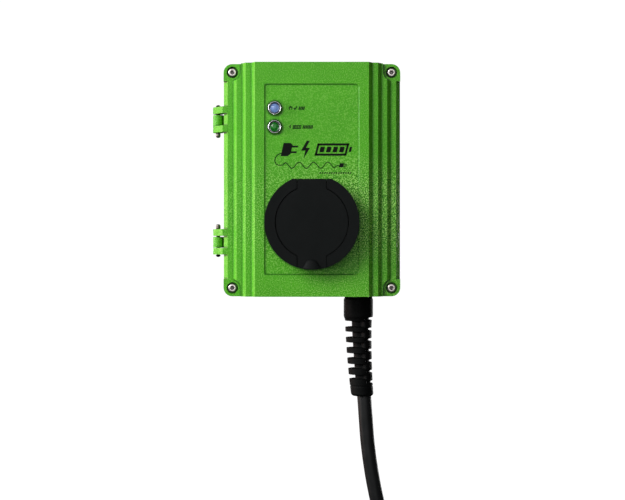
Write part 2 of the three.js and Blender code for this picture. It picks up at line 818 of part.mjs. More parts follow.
function lockActuator() {
  const bottomZ = socket.z + socket.bodyRadius + 0.4;
  const { halfWidth, height, frontDepth, backDepth, motorRadius } = lock;
  const backY = lock.y + backDepth;
  const gearbox = block(
    [-halfWidth, halfWidth], [lock.y - frontDepth, backY], [bottomZ, bottomZ + height]);
  const motor = rodX(
    motorRadius, -halfWidth, halfWidth + lock.motorOverhang, backY, bottomZ + lock.motorZ, 16);
  const bore = rodZ(lock.holeRadius, bottomZ - 1, bottomZ + lock.length + 1, 0, lock.y, 12);
  return cut(join(gearbox, motor), bore);
}

function lockPin() {
  const tipZ = socket.z + socket.mouthRadius + 0.4;
  return rodZ(lock.radius, tipZ, tipZ + lock.length, 0, lock.y, 14);
}

addPiece(lid, 'socket_flange', socketFlange(), mattBlack);
addPiece(lid, 'socket_gasket', socketGasket(), rubber);
addPiece(lid, 'socket_body', socketBody(), mattBlack);
addPiece(lid, 'socket_clamp_ring', clampRing(), darkGrey);
for (const { name, x, z, radius } of contacts) {
  addPiece(lid, name, contactSleeve(radius), silver, [x, 0, socket.z + z]);
}
addPiece(lid, 'lock_actuator', lockActuator(), darkGrey);
addPiece(lid, 'lock_pin', lockPin(), stainless);
addPiece(lid, 'flap_hinge_pin',
  rodX(flap.pinRadius, -socket.pinHalfLength, socket.pinHalfLength, flap.hingeY, flap.hingeZ, 16),
  blackSteel);

// ---------------------------------------------------------------- flap

// Thumb lift at the flap's foot: half a cone whose wide end lies at the rim.
function thumbLift() {
  const foot = socket.z - socket.radius;
  const cone = new THREE.CylinderGeometry(
    flap.liftTopWidth / 2, flap.liftWidth / 2, flap.liftHeight, 24);
  cone.scale(1, 1, flap.liftDepth / (flap.liftWidth / 2));
  cone.rotateX(Math.PI / 2);
  cone.translate(0, flap.frontY, foot + flap.liftHeight / 2);
  const front = alongY(flatToppedCircle(socket.radius - 0.4, socket.flatTop, socket.z),
    flap.frontY + 0.5, flap.frontY - flap.liftDepth - 1, 22);
  return solid(cone).intersect(front);
}

function buildFlap() {
  const { radius, thickness, frontY, tabHalfWidth, liftHalfWidth, hingeY, hingeZ } = flap;
  const backY = frontY + thickness;
  const top = socket.z + socket.flatTop;
  const disc = rodY(radius, frontY, backY, 0, socket.z, 40);
  const tab = block([-tabHalfWidth, tabHalfWidth], [frontY, hingeY], [socket.z + 20, top - 0.1]);
  const neck = block(
    [-tabHalfWidth, tabHalfWidth], [frontY, backY], [socket.z + 20, hingeZ - 1]);
  const barrel = rodX(flap.barrelRadius, -tabHalfWidth, tabHalfWidth, hingeY, hingeZ, 20);
  const rimRound = alongY(flatToppedCircle(socket.radius - 0.2, socket.flatTop, socket.z),
    backY + 1, frontY - 1, 22);
  const foot = block([-liftHalfWidth, liftHalfWidth], [frontY, backY],
    [socket.z - socket.radius, socket.z - 25]).intersect(rimRound);
  const pinBore = rodX(flap.boreRadius, -20, 20, hingeY, hingeZ, 16);
  const springPocket = block([-5.2, 5.2], [hingeY - 2.9, backY + 5], [hingeZ - 3.9, hingeZ + 6]);
  // The disc's back edge is relieved beside the tab, so that it clears the flange as it swings.
  const relief = [-1, 1].map((side) => {
    const cone = new THREE.CylinderGeometry(
      flap.reliefOuter, flap.reliefInner, flap.reliefWidth, 28);
    cone.rotateZ(-side * Math.PI / 2);
    cone.translate(side * (tabHalfWidth + flap.reliefWidth / 2), hingeY, hingeZ);
    return solid(cone);
  });
  const whole = cut(join(cut(disc, ...relief), tab, neck, barrel, foot), pinBore, springPocket);
  return join(whole, thumbLift());
}

function flapSeal() {
  const frontY = flap.frontY + flap.thickness + 0.1;
  const ring = rodY(34.2, frontY, frontY + 0.9, 0, socket.z, 28);
  return cut(ring, rodY(31, frontY - 1, frontY + 2, 0, socket.z, 28));
}

// Torsion spring around the flap's pin: close turns with one leg that lies behind the flap.
class SpringCurve extends THREE.Curve {
  getPoint(t, target = new THREE.Vector3()) {
    const turns = 4;
    const coilRadius = 2.2;
    const halfLength = 3.6;
    const legShare = 0.14;
    if (t < legShare) {
      const along = 1 - t / legShare;
      return target.set(-halfLength, coilRadius, -3 * along);
    }
    const u = (t - legShare) / (1 - legShare);
    const angle = 2 * Math.PI * turns * u;
    const x = -halfLength + 2 * halfLength * u;
    return target.set(x, coilRadius * Math.cos(angle), coilRadius * Math.sin(angle));
  }
}

addPiece(flapGroup, 'socket_flap', buildFlap(), mattBlack);
addPiece(flapGroup, 'flap_seal', flapSeal(), rubber);
addPiece(flapGroup, 'flap_spring', barAlong(new SpringCurve(), 0.4, 44, 2), blackSteel,
  [0, flap.hingeY, flap.hingeZ]);

// ---------------------------------------------------------------- cable entry

// Centreline of the cable: straight through the gland, then a slow bend away to the right.
const cableLine = new THREE.CatmullRomCurve3([
  [cable.entryX, cable.startZ],
  [cable.entryX, -122],
  [50.7, -160],
  [55.2, -225],
  [59.6, -282],
  [68.7, -335],
  [83.5, -385],
].map(([x, z]) => new THREE.Vector3(x, cable.y, z)));

const cableSteps = 22;

function cableXAt(z) {
  const samples = 400;
  let best = cableLine.getPoint(0);
  for (let i = 1; i <= samples; i += 1) {
    const point = cableLine.getPoint(i / samples);
    if (Math.abs(point.z - z) < Math.abs(best.z - z)) {
      best = point;
    }
  }
  return best.x;
}

function bootBend(z) {
  const below = Math.max(0, boot.shoulderZ - z) / boot.bendLength;
  return boot.bend * below * below;
}

// Round sector that opens away from the core, used to cut the boot's slots.
function sector(centreX, innerRadius, startAngle, endAngle, z0, z1) {
  const shape = new THREE.Shape();
  shape.absarc(centreX, cable.y, 22, startAngle, endAngle, false);
  shape.absarc(centreX, cable.y, innerRadius, endAngle, startAngle, true);
  return alongZ(shape, z0, z1, 6);
}

function buildBoot() {
  const { topZ, shoulderZ, neckZ, endZ, topRadius, neckRadius, endRadius } = boot;
  const lengthOfTaper = neckZ - endZ;
  const radiusAt = (z) => endRadius + ((neckRadius - endRadius) * (z - endZ)) / lengthOfTaper;
  const profile = [
    [0, -topZ],
    [topRadius - 0.8, -topZ],
    [topRadius, -topZ + 0.8],
    [topRadius, -shoulderZ],
    [neckRadius, -neckZ],
  ];
  const bands = 5;
  for (let i = 1; i < bands; i += 1) {
    const z = neckZ - (lengthOfTaper * i) / bands;
    profile.push([radiusAt(z), -z]);
  }
  profile.push([endRadius, -endZ - 2.5], [endRadius - 2, -endZ], [0, -endZ]);
  const straight = turned(profile, 22).rotate([-90, 0, 0]);
  let whole = straight.translate([cable.entryX, cable.y, 0]);
  whole = whole.warp((vertex) => {
    vertex[0] += bootBend(vertex[2]);
  });
  for (let i = 0; i < boot.slots; i += 1) {
    const slotZ = boot.firstSlotZ - i * boot.pitch;
    const slotHalf = (boot.slotHeight - i * boot.slotShrink) / 2;
    const slotTop = slotZ + slotHalf;
    const slotBottom = slotZ - slotHalf;
    const slotX = cableXAt(slotZ);
    const coreRadius = boot.coreRadius;
    whole = cut(whole,
      sector(slotX, coreRadius, Math.PI * 0.55, Math.PI * 1.62, slotBottom, slotTop));
    const notchZ = slotZ - boot.pitch / 2;
    const notchX = cable.entryX + bootBend(notchZ);
    const notchRadius = radiusAt(notchZ) - boot.notchDepth + i * boot.notchShrink;
    whole = cut(whole, sector(notchX, notchRadius, -Math.PI * 0.33, Math.PI * 0.45,
      notchZ - boot.notchHeight / 2, notchZ + boot.notchHeight / 2));
  }
  return cut(whole, barAlong(cableLine, cable.radius + 0.4, cableSteps, 7));
}

function cableGland() {
  const flangeTop = -box.halfHeight - 1.5;
  const flange = rodZ(gland.flangeRadius, boot.topZ + GAP, flangeTop, cable.entryX, cable.y, 6);
  const thread = rodZ(gland.threadRadius, boot.topZ + 1, -104.5, cable.entryX, cable.y, 22);
  const bore = rodZ(cable.radius + 0.5, -130, -100, cable.entryX, cable.y, 16);
  return cut(join(flange, thread), bore);
}

function glandWasher() {
  const top = -box.halfHeight - 0.1;
  const ring = rodZ(gland.washerRadius, top - 1.2, top, cable.entryX, cable.y, 24);
  return cut(ring, rodZ(gland.holeRadius, -125, -110, cable.entryX, cable.y, 24));
}

function glandNut() {
  const bottom = -box.halfHeight + box.rim + 0.3;
  const nut = alongZ(hexagon(17.5, cable.entryX, cable.y), bottom, bottom + 6);
  return cut(nut, rodZ(gland.holeRadius, bottom - 1, bottom + 8, cable.entryX, cable.y, 24));
}

addPiece(housing, 'cable_gland', cableGland(), mattBlack);
addPiece(housing, 'gland_washer', glandWasher(), rubber);
addPiece(housing, 'gland_lock_nut', glandNut(), mattBlack);
addPiece(housing, 'strain_relief_boot', buildBoot(), rubber);
addPiece(housing, 'cable_sheath', barAlong(cableLine, cable.radius, cableSteps, 7), sheath);

// The five cores leave the cut end of the sheath and spread a little.
function coreCurve(angle) {
  const end = cableLine.getPoint(1);
  const along = cableLine.getTangent(1);
  const side = new THREE.Vector3(0, 1, 0);
  const across = new THREE.Vector3().crossVectors(side, along);
  const place = (distance, spread) => end.clone()
    .addScaledVector(along, distance)
    .addScaledVector(side, spread * Math.sin(angle))
    .addScaledVector(across, spread * Math.cos(angle));
  return new THREE.CatmullRomCurve3([place(0.4, 3.9), place(9, 4.2), place(20, 6), place(30, 7.4)]);
}

Object.entries(coreColors).forEach(([color, material], i) => {
  const curve = coreCurve((2 * Math.PI * i) / 5 + 0.3);
  addPiece(housing, `core_${color}`, barAlong(curve, 1.9, 5, 3), material);
});

// ---------------------------------------------------------------- equipment in the housing

function mountingPlate() {
  const { halfWidth, halfHeight, y, thickness } = plate;
  let whole = alongY(roundedRectangle(halfWidth, halfHeight, 4), y, y - thickness, 3);
  for (const [sx, sz] of CORNERS) {
    const holeX = sx * plate.postX;
    const holeZ = sz * plate.postZ;
    whole = cut(whole, rodY(plate.holeRadius, y - 5, y + 2, holeX, holeZ, 10));
  }
  return cut(whole, rodY(earth.radius + 0.4, y - 5, y + 2, earth.x, earth.z, 12));
}

function plateScrew() {
  const headRadius = 3.8;
  const crownRadius = 2.4;
  const length = 7;
  const shank = 1.6;
  return turned([
    [0, -2.6],
    [crownRadius, -2.3],
    [headRadius, -1.2],
    [headRadius, 0],
    [shank, 0],
    [shank, length],
    [0, length],
  ], 10);
}

addPiece(housing, 'mounting_plate', mountingPlate(), zincSteel);
const plateScrewShape = plateScrew();
CORNERS.forEach(([sx, sz], i) => {
  addPiece(housing, `plate_screw_${i + 1}`, plateScrewShape, zincSteel,
    [sx * plate.postX, plate.y - plate.thickness - 0.1, sz * plate.postZ]);
});

const railBackY = plate.y - plate.thickness - 0.1;
const deviceBackY = railBackY - rail.height - 0.2;

function dinRail() {
  const { z, width, height, thickness, x0, x1 } = rail;
  const foot = railBackY;
  const lip = railBackY - height;
  const half = width / 2;
  const inner = 12.5;
  const profile = polygon([
    [foot, z - inner],
    [foot, z + inner],
    [lip + thickness, z + inner],
    [lip + thickness, z + half],
    [lip, z + half],
    [lip, z + inner - thickness],
    [foot - thickness, z + inner - thickness],
    [foot - thickness, z - inner + thickness],
    [lip, z - inner + thickness],
    [lip, z - half],
    [lip + thickness, z - half],
    [lip + thickness, z - inner],
  ]);
  return alongX(profile, x0, x1);
}

const railDevice = {
  module: 18,                       // width of one rail module
  sideGap: 0.4,
  halfHeight: 38,
  shoulderDepth: 27,
  shoulderZ: 24,
  noseY: -72.5,
  noseZ: 16,
  noseTaper: [5, 6],
  terminalZ: 31,
  terminalRadius: 2.8,
  terminalDepth: 6,
};

// Modular rail device: terminals on the lower shoulders, a raised nose in the middle.
function modularDevice(x0, modules) {
  const { module, halfHeight, shoulderZ, noseY, noseZ, terminalZ } = railDevice;
  const [taperY, taperZ] = railDevice.noseTaper;
  const width = modules * module - railDevice.sideGap;
  const shoulderY = deviceBackY - railDevice.shoulderDepth;
  const profile = polygon([
    [deviceBackY, rail.z - halfHeight],
    [deviceBackY, rail.z + halfHeight],
    [shoulderY, rail.z + halfHeight],
    [shoulderY, rail.z + shoulderZ],
    [noseY + taperY, rail.z + noseZ + taperZ],
    [noseY, rail.z + noseZ],
    [noseY, rail.z - noseZ],
    [noseY + taperY, rail.z - noseZ - taperZ],
    [shoulderY, rail.z - shoulderZ],
    [shoulderY, rail.z - halfHeight],
  ]);
  let whole = alongX(profile, x0, x0 + width);
  for (let i = 0; i < modules; i += 1) {
    const x = x0 + module * (i + 0.5);
    for (const z of [rail.z - terminalZ, rail.z + terminalZ]) {
      const terminal = rodY(railDevice.terminalRadius,
        shoulderY - 1, shoulderY + railDevice.terminalDepth, x, z, 12);
      whole = cut(whole, terminal);
    }
  }
  return whole;
}

// The control board on its four posts. Each part is given as its X span, height and Z span.
const controller = {
  standOff: 8,
  thickness: 1.6,
  sheetX: [-76, -26],
  sheetZ: [16, 88],
  parts: [
    [[-72, -56], 15, [60, 84]],     // relay
    [[-50, -30], 17, [58, 80]],     // transformer
    [[-72, -32], 9, [18, 26]],      // terminal header
    [[-58, -44], 1.4, [34, 48]],    // processor
  ],
  capacitor: { x: -67, z: 50, radius: 4.5, height: 16.4 },
  posts: [[-70, 30], [-32, 30], [-70, 55], [-32, 54]],
  postRadius: 3,
};

function controlBoard() {
  const { standOff, thickness, sheetX, sheetZ, parts, capacitor, posts } = controller;
  const boardY = plate.y - plate.thickness - standOff;
  const frontY = boardY - thickness;
  const inBoard = boardY - 1;
  const sheet = block(sheetX, [frontY, boardY], sheetZ);
  const mounted = parts.map(([spanX, height, spanZ]) =>
    block(spanX, [frontY - height, inBoard], spanZ));
  const can = rodY(
    capacitor.radius, frontY - capacitor.height, inBoard, capacitor.x, capacitor.z, 16);
  const supports = posts.map(([x, z]) =>
    rodY(controller.postRadius, inBoard, plate.y - plate.thickness - 0.1, x, z, 12));
  return join(sheet, ...mounted, can, ...supports);
}

const terminals = {
  poles: 5,
  pitch: 8,
  bottomZ: -78,
  height: 24,
  shoulderDepth: 22,
  depth: 30,
  slope: 5,
  holeRadius: 2.4,
  screwZ: 12,
  wireDepth: 14,
};

function terminalBlock() {
  const { poles, pitch, bottomZ, height, shoulderDepth, depth, slope, holeRadius } = terminals;
  const backY = plate.y - plate.thickness - 0.1;
  const x0 = cable.entryX - (poles * pitch) / 2;
  const profile = polygon([
    [backY, bottomZ],
    [backY, bottomZ + height],
    [backY - shoulderDepth, bottomZ + height],
    [backY - depth, bottomZ + height - slope],
    [backY - depth, bottomZ + slope],
    [backY - shoulderDepth, bottomZ],
  ]);
  let whole = alongX(profile, x0, x0 + poles * pitch);
  for (let i = 0; i < poles; i += 1) {
    const x = x0 + pitch * (i + 0.5);
    const screwHole = rodY(
      holeRadius, backY - depth - 1, backY - depth + 4, x, bottomZ + terminals.screwZ, 8);
    const wireHole = rodZ(holeRadius, bottomZ - 1, bottomZ + 6, x, backY - terminals.wireDepth, 8);
    whole = cut(whole, screwHole, wireHole);
  }
  return whole;
}

const sensor = { z: -33, bore: 8.5, radius: 17, halfHeight: 7, footHalfWidth: 12, footHalfHeight: 6 };

function currentSensor() {
  const { z, bore, radius, halfHeight, footHalfWidth, footHalfHeight } = sensor;
  const ring = turned([
    [bore, -halfHeight],
    [radius, -halfHeight],
    [radius, halfHeight],
    [bore, halfHeight],
    [bore, -halfHeight],
  ], 28).rotate([90, 0, 0]);
  const foot = block(
    [cable.entryX - footHalfWidth, cable.entryX + footHalfWidth],
    [cable.y + 13, plate.y - plate.thickness - 0.2],
    [z - footHalfHeight, z + footHalfHeight]);
  return join(ring.translate([cable.entryX, cable.y, z]), foot);
}

addPiece(housing, 'din_rail', dinRail(), zincSteel);
addPiece(housing, 'contactor', modularDevice(-17, 2), greyPlastic);
addPiece(housing, 'power_supply', modularDevice(24, 2), greyPlastic);
addPiece(housing, 'control_board', controlBoard(), board);
addPiece(housing, 'terminal_block', terminalBlock(), greyPlastic);
addPiece(housing, 'current_sensor', currentSensor(), darkGrey);

function earthStud() {
  return turned([
    [0, plate.y + 3.6],
    [earth.headRadius, plate.y + 3.6],
    [earth.headRadius, plate.y + 0.2],
    [earth.radius, plate.y + 0.2],
    [earth.radius, plate.y - 16],
    [0, plate.y - 16],
  ], 16);
}

function earthNut() {
  const backY = plate.y - plate.thickness - 0.2;
  const nut = alongY(hexagon(5.8, 0, 0), backY, backY - 5);
  return cut(nut, rodY(earth.radius + 0.06, -40, 0, 0, 0, 16));
}

addPiece(housing, 'earth_stud', earthStud(), brass, [earth.x, 0, earth.z]);
addPiece(housing, 'earth_nut', earthNut(), brass, [earth.x, 0, earth.z]);

export default group;
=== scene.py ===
import json
import math
from collections import namedtuple

import bmesh
import bpy
from mathutils import Matrix, Vector


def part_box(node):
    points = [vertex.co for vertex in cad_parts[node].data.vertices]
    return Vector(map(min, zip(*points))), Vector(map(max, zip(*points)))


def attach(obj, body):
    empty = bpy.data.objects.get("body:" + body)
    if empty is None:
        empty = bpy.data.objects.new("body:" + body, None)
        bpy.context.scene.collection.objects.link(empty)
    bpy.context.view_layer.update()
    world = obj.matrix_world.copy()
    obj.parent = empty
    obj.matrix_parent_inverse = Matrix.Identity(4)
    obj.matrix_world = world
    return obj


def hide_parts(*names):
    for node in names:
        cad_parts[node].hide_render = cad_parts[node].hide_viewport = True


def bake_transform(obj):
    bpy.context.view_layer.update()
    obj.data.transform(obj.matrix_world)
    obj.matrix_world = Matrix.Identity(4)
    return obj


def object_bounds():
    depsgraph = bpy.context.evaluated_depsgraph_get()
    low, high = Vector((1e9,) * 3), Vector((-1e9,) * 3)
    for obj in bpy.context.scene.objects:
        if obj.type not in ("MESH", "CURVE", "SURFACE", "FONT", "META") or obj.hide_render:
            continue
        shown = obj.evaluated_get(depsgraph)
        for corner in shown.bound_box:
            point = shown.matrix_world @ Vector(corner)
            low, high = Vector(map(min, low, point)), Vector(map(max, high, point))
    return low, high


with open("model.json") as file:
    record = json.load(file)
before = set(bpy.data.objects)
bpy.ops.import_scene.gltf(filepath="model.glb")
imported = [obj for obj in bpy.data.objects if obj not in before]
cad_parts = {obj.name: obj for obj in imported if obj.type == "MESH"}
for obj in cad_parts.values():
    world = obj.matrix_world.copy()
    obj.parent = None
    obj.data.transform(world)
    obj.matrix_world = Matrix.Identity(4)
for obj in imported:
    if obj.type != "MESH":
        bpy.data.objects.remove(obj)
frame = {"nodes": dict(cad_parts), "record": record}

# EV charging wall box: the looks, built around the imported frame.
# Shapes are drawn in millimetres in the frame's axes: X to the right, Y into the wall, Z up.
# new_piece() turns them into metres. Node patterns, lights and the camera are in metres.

CAD_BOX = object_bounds()
SCENE = bpy.context.scene
MM = 0.001
TURN = 2 * math.pi


# ---- places in the frame

Point = namedtuple("Point", "x y z")


class Place:
    """Where a CAD node is at rest."""

    def __init__(self, node):
        low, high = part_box(node)
        self.low = Point(*(a / MM for a in low))
        self.high = Point(*(b / MM for b in high))
        self.centre = Point(*((a + b) / 2 for a, b in zip(self.low, self.high)))
        self.size = Point(*(b - a for a, b in zip(self.low, self.high)))


def centreline(node, gap):
    """Middles of the rings of points of a hanging bar, from its top down."""
    points = sorted({tuple(v.co / MM) for v in frame["nodes"][node].data.vertices},
                    key=lambda point: -point[2])
    rings = [[points[0]]]
    for above, point in zip(points, points[1:]):
        if above[2] - point[2] > gap:
            rings.append([])
        rings[-1].append(point)
    return [sum(map(Vector, ring), Vector((0, 0, 0))) / len(ring) for ring in rings]


def smooth_path(points, steps):
    """Catmull-Rom curve through the points, with steps spans between neighbours."""
    path = []
    last = len(points) - 1
    for i in range(last):
        before = points[max(i - 1, 0)]
        start = points[i]
        end = points[i + 1]
        after = points[min(i + 2, last)]
        for k in range(steps):
            t = k / steps
            path.append(0.5 * (
                2 * start
                + (end - before) * t
                + (2 * before - 5 * start + 4 * end - after) * t ** 2
                + (3 * start - before - 3 * end + after) * t ** 3))
    path.append(points[last])
    return path


def along(path, z):
    """Point of a falling path at height z."""
    for upper, lower in zip(path, path[1:]):
        if lower.z <= z <= upper.z:
            share = (upper.z - z) / (upper.z - lower.z)
            return upper.lerp(lower, share)
    return path[0] if z > path[0].z else path[-1]


def ease(value, low, high):
    """Smooth step from 0 at low to 1 at high."""
    t = min(1.0, max(0.0, (value - low) / (high - low)))
    return t * t * (3 - 2 * t)


def between(value, low, high, soft):
    """1 between low and high, falling to 0 outside over the length soft."""
    rise = ease(value, low - soft / 2, low + soft / 2)
    return rise * (1 - ease(value, high - soft / 2, high + soft / 2))


# ---- materials

def srgb(red, green, blue):
    """Linear colour from values between 0 and 255."""
    def linear(value):
        value /= 255
        return value / 12.92 if value <= 0.04045 else ((value + 0.055) / 1.055) ** 2.4
    return (linear(red), linear(green), linear(blue), 1.0)


def scaled(color, gain, lift=0.0):
    return tuple(min(1.0, c * gain + lift) for c in color[:3]) + (1.0,)


class Nodes:
    """Adds nodes to a tree. An input's name is written with _ for its spaces."""

    def __init__(self, tree):
        self.nodes = tree.nodes
        self.links = tree.links

    def feed(self, socket, value):
        if isinstance(value, bpy.types.NodeSocket):
            self.links.new(value, socket)
        else:
            socket.default_value = value

    def node(self, kind, output, *values, settings=(), **inputs):
        """Output of a new node, with values for its first inputs and for the named ones."""
        node = self.nodes.new("ShaderNode" + kind)
        for name, setting in settings:
            setattr(node, name, setting)
        for i, value in enumerate(values):
            self.feed(node.inputs[i], value)
        for name, value in inputs.items():
            self.feed(node.inputs[name.replace("_", " ")], value)
        return node.outputs[output]

    def math(self, operation, first, second=0.0, kind="Math"):
        return self.node(kind, 0, first, second, settings=[("operation", operation)])


class Surface(Nodes):
    """Material with one principled shader. Patterns follow the piece's coordinates."""

    def __init__(self, name, color, roughness, metallic=0.0, specular=0.5):
        self.material = bpy.data.materials.new(name)
        self.material.use_nodes = True
        super().__init__(self.material.node_tree)
        self.place = self.node("TexCoord", "Object")
        self.set("Base Color", color)
        self.set("Roughness", roughness)
        self.set("Metallic", metallic)
        self.set("Specular IOR Level", specular)

    def set(self, socket, value):
        self.feed(self.nodes["Principled BSDF"].inputs[socket], value)

    def stretched(self, *scales):
        return self.math("MULTIPLY", self.place, scales, "VectorMath")

    def noise(self, scale, detail=2.0, place=None):
        return self.node("TexNoise", "Fac", Vector=place or self.place, Scale=scale,
                         Detail=detail)

    def remap(self, value, start, end, low=0.0, high=1.0):
        """Ramp from low, where the value is start, to high, where it is end."""
        return self.node("MapRange", "Result", value, start, end, low, high)

    def product(self, first, *others):
        for other in others:
            first = self.math("MULTIPLY", first, other)
        return first

    def mix(self, factor, first, second):
        node = self.nodes.new("ShaderNodeMix")
        node.data_type = "RGBA"
        for socket, value in ((0, factor), (6, first), (7, second)):  # the two colour sockets
            self.feed(node.inputs[socket], value)
        return node.outputs[2]

    def paint(self, factor, first, second):
        self.set("Base Color", self.mix(factor, first, second))

    def dull(self, value, low, high):
        """Roughness from low to high as a noise rises."""
        self.set("Roughness", self.remap(value, 0.3, 0.7, low, high))

    def relief(self, height, depth, strength):
        """Bumps of a depth in millimetres."""
        self.set("Normal", self.node("Bump", "Normal", Height=height, Distance=depth * MM,
                                     Strength=strength))

    def shelter(self, reach):
        """About 1 in the open, less in corners and hollows within reach millimetres."""
        return self.node("AmbientOcclusion", "AO", settings=[("samples", 6)],
                         Distance=reach * MM)

    def facing(self, blend):
        return self.node("LayerWeight", "Facing", blend)


RECESS_EDGE = (47.4 * MM, 95.8 * MM)  # middle of the step around the label, across and up


def powder_coat():
    """Green hammer texture that grows coarse around the socket, where its painted highlight specks
    and painted pit shade grow too.
    """
    skin = Surface("powder_coat", srgb(70, 166, 24), 0.4, specular=0.22)
    sideways, forward, upward = (
        skin.node("SeparateXYZ", axis, skin.place) for axis in range(3))
    # Towards the lower right, around the socket: stronger bumps, and more painted highlight specks
    # and painted pit shade.
    bumps_and_painted_specks = skin.product(
        skin.remap(sideways, -80 * MM, 45 * MM, 0.2),
        skin.remap(upward, 28 * MM, -12 * MM, 0.12),
        skin.remap(upward, -62 * MM, -85 * MM, 1.0, 0.35))
    lumps = skin.noise(640, 1.5)
    grains = skin.noise(900, 1.0)
    height = skin.math("ADD", lumps, skin.product(grains, 0.7))
    skin.relief(height, 0.5, skin.remap(bumps_and_painted_specks, 0.0, 1.0, 0.4))

    tone = skin.remap(skin.noise(38, 3.0), 0.3, 0.7)
    base = skin.mix(tone, srgb(72, 165, 14), srgb(79, 173, 20))
    # Painted shade in the grain's pits, and painted highlight specks on its crests.
    painted_pit_shade = skin.remap(grains, 0.5, 0.36)
    painted_pit_shade = skin.product(painted_pit_shade, skin.remap(bumps_and_painted_specks, 0.0, 1.0, 0.12))
    base = skin.mix(painted_pit_shade, base, srgb(38, 104, 14))
    painted_crest_highlights = skin.remap(grains, 0.51, 0.61)
    painted_crest_highlights = skin.product(painted_crest_highlights, skin.remap(bumps_and_painted_specks, 0.0, 1.0, 0.1))
    base = skin.mix(painted_crest_highlights, base, srgb(176, 232, 120))
    # Painted shade in corners and hollows.
    painted_hollow_shade = skin.remap(skin.shelter(2.5), 0.96, 0.78, 0.0, 0.7)
    base = skin.mix(painted_hollow_shade, base, srgb(18, 76, 6))

    # Painted shadow along the step around the label recess, less so on its right, where the step
    # faces the light.
    across = skin.math("SUBTRACT", skin.math("ABSOLUTE", sideways), RECESS_EDGE[0])
    upright = skin.math("SUBTRACT", skin.math("ABSOLUTE", upward), RECESS_EDGE[1])
    from_step = skin.math("ABSOLUTE", skin.math("MAXIMUM", across, upright))
    line = skin.product(
        skin.remap(from_step, 1.0 * MM, 0.3 * MM, 0.0, 0.6),
        skin.remap(sideways, 41 * MM, 46 * MM, 1.0, 0.0),
        skin.remap(forward, -96 * MM, -97 * MM))
    skin.paint(line, base, srgb(20, 80, 8))
    skin.dull(skin.noise(260, 2.0), 0.31, 0.42)
    return skin.material


def moulded_plastic(name, color, roughness, grain=2300, specular=0.5):
    """Fine spark-eroded grain."""
    skin = Surface(name, color, roughness, specular=specular)
    grit = skin.noise(grain)
    skin.relief(grit, 0.05, 0.5)
    skin.dull(skin.noise(60, 3.0), roughness - 0.06, roughness + 0.06)
    lit = skin.remap(grit, 0.35, 0.75, 0.0, 0.5)
    skin.paint(lit, color, scaled(color, 1.35, 0.002))
    return skin.material


def rubber(name, color, roughness):
    """Moulded elastomer with a faint bloom."""
    skin = Surface(name, color, roughness, specular=0.09)
    bloom = skin.noise(90, 4.0)
    skin.relief(skin.noise(1500), 0.04, 0.5)
    dusty = skin.remap(bloom, 0.45, 0.8, 0.0, 0.6)
    skin.paint(dusty, color, scaled(color, 1.8, 0.003))
    skin.dull(bloom, roughness - 0.08, roughness + 0.1)
    return skin.material


def cable_skin():
    """Extruded sheath, with faint marks drawn out along the cable."""
    skin = Surface("cable_skin", srgb(10, 12, 13), 0.4, specular=0.3)
    drawn = skin.noise(1.0, 3.0, skin.stretched(900, 900, 40))
    skin.relief(drawn, 0.05, 0.6)
    tone = skin.noise(70, 3.0)
    skin.paint(tone, srgb(8, 10, 11), srgb(13, 15, 16))
    skin.dull(tone, 0.34, 0.46)
    return skin.material


def metal(name, color, roughness, brushed=(300, 300, 300), solidity=1.0):
    """Metal with fine working marks, and painted shade in its hollows."""
    skin = Surface(name, color, roughness, solidity)
    marks = skin.noise(1.0, 4.0, skin.stretched(*brushed))
    skin.relief(marks, 0.02, 0.35)
    skin.dull(marks, roughness * 0.75, roughness * 1.3)
    worked = skin.mix(skin.remap(marks, 0.35, 0.65), scaled(color, 0.8), color)
    # Painted shade in hollows, such as screw sockets.
    painted_hollow_shade = skin.remap(skin.shelter(3), 0.9, 0.5, 0.0, 0.97)
    skin.paint(painted_hollow_shade, worked, srgb(16, 13, 13))
    return skin.material


def chrome():
    """Bright plate, with a painted dark reflection where it turns away from the viewer."""
    skin = Surface("chrome_plate", srgb(214, 216, 220), 0.14, 1.0)
    marks = skin.noise(700, 3.0)
    skin.relief(marks, 0.01, 0.3)
    painted_dark_reflection = skin.remap(skin.facing(0.5), 0.35, 0.7)
    skin.paint(painted_dark_reflection, srgb(226, 228, 232), srgb(34, 42, 38))
    skin.dull(marks, 0.1, 0.2)
    return skin.material


def lens(name, core, rim):
    """Unlit lens: tinted, glossy, a little cloudy."""
    skin = Surface(name, core, 0.22, specular=0.3)
    cloud = skin.remap(skin.noise(450, 3.0), 0.35, 0.65, 0.0, 0.25)
    shade = skin.math("ADD", skin.facing(0.35), cloud)
    skin.paint(shade, core, rim)
    for socket, value in (("Coat Weight", 0.35), ("Coat Roughness", 0.12),
                          ("Subsurface Weight", 0.25), ("Subsurface Scale", 1.0),
                          ("Subsurface Radius", (0.002, 0.002, 0.003))):
        skin.set(socket, value)
    return skin.material


def ink():
    """Dark print, a little worn by the grain under it."""
    skin = Surface("panel_ink", srgb(5, 10, 5), 0.6, specular=0.1)
    skin.relief(skin.noise(900), 0.05, 0.4)
    worn = skin.remap(skin.noise(1400), 0.6, 0.8, 0.0, 0.2)
    skin.paint(worn, srgb(5, 10, 5), srgb(40, 80, 28))
    return skin.material


def solder_mask():
    """Green board with faint raised tracks."""
    skin = Surface("solder_mask", srgb(24, 92, 48), 0.35)
    tracks = skin.noise(1.0, 0.0, skin.stretched(420, 420, 90))
    lit = skin.remap(tracks, 0.5, 0.54, 0.0, 0.6)
    skin.paint(lit, srgb(20, 84, 42), srgb(44, 122, 66))
    skin.relief(tracks, 0.03, 0.4)
    return skin.material


def backdrop():
    """White to the camera, and dark grey to all other light."""
    skin = Surface("stage", (0.12, 0.12, 0.12, 1.0), 0.9, specular=0.0)
    skin.set("Emission Color", (1.0, 1.0, 1.0, 1.0))
    skin.set("Emission Strength", skin.node("LightPath", "Is Camera Ray"))
    return skin.material


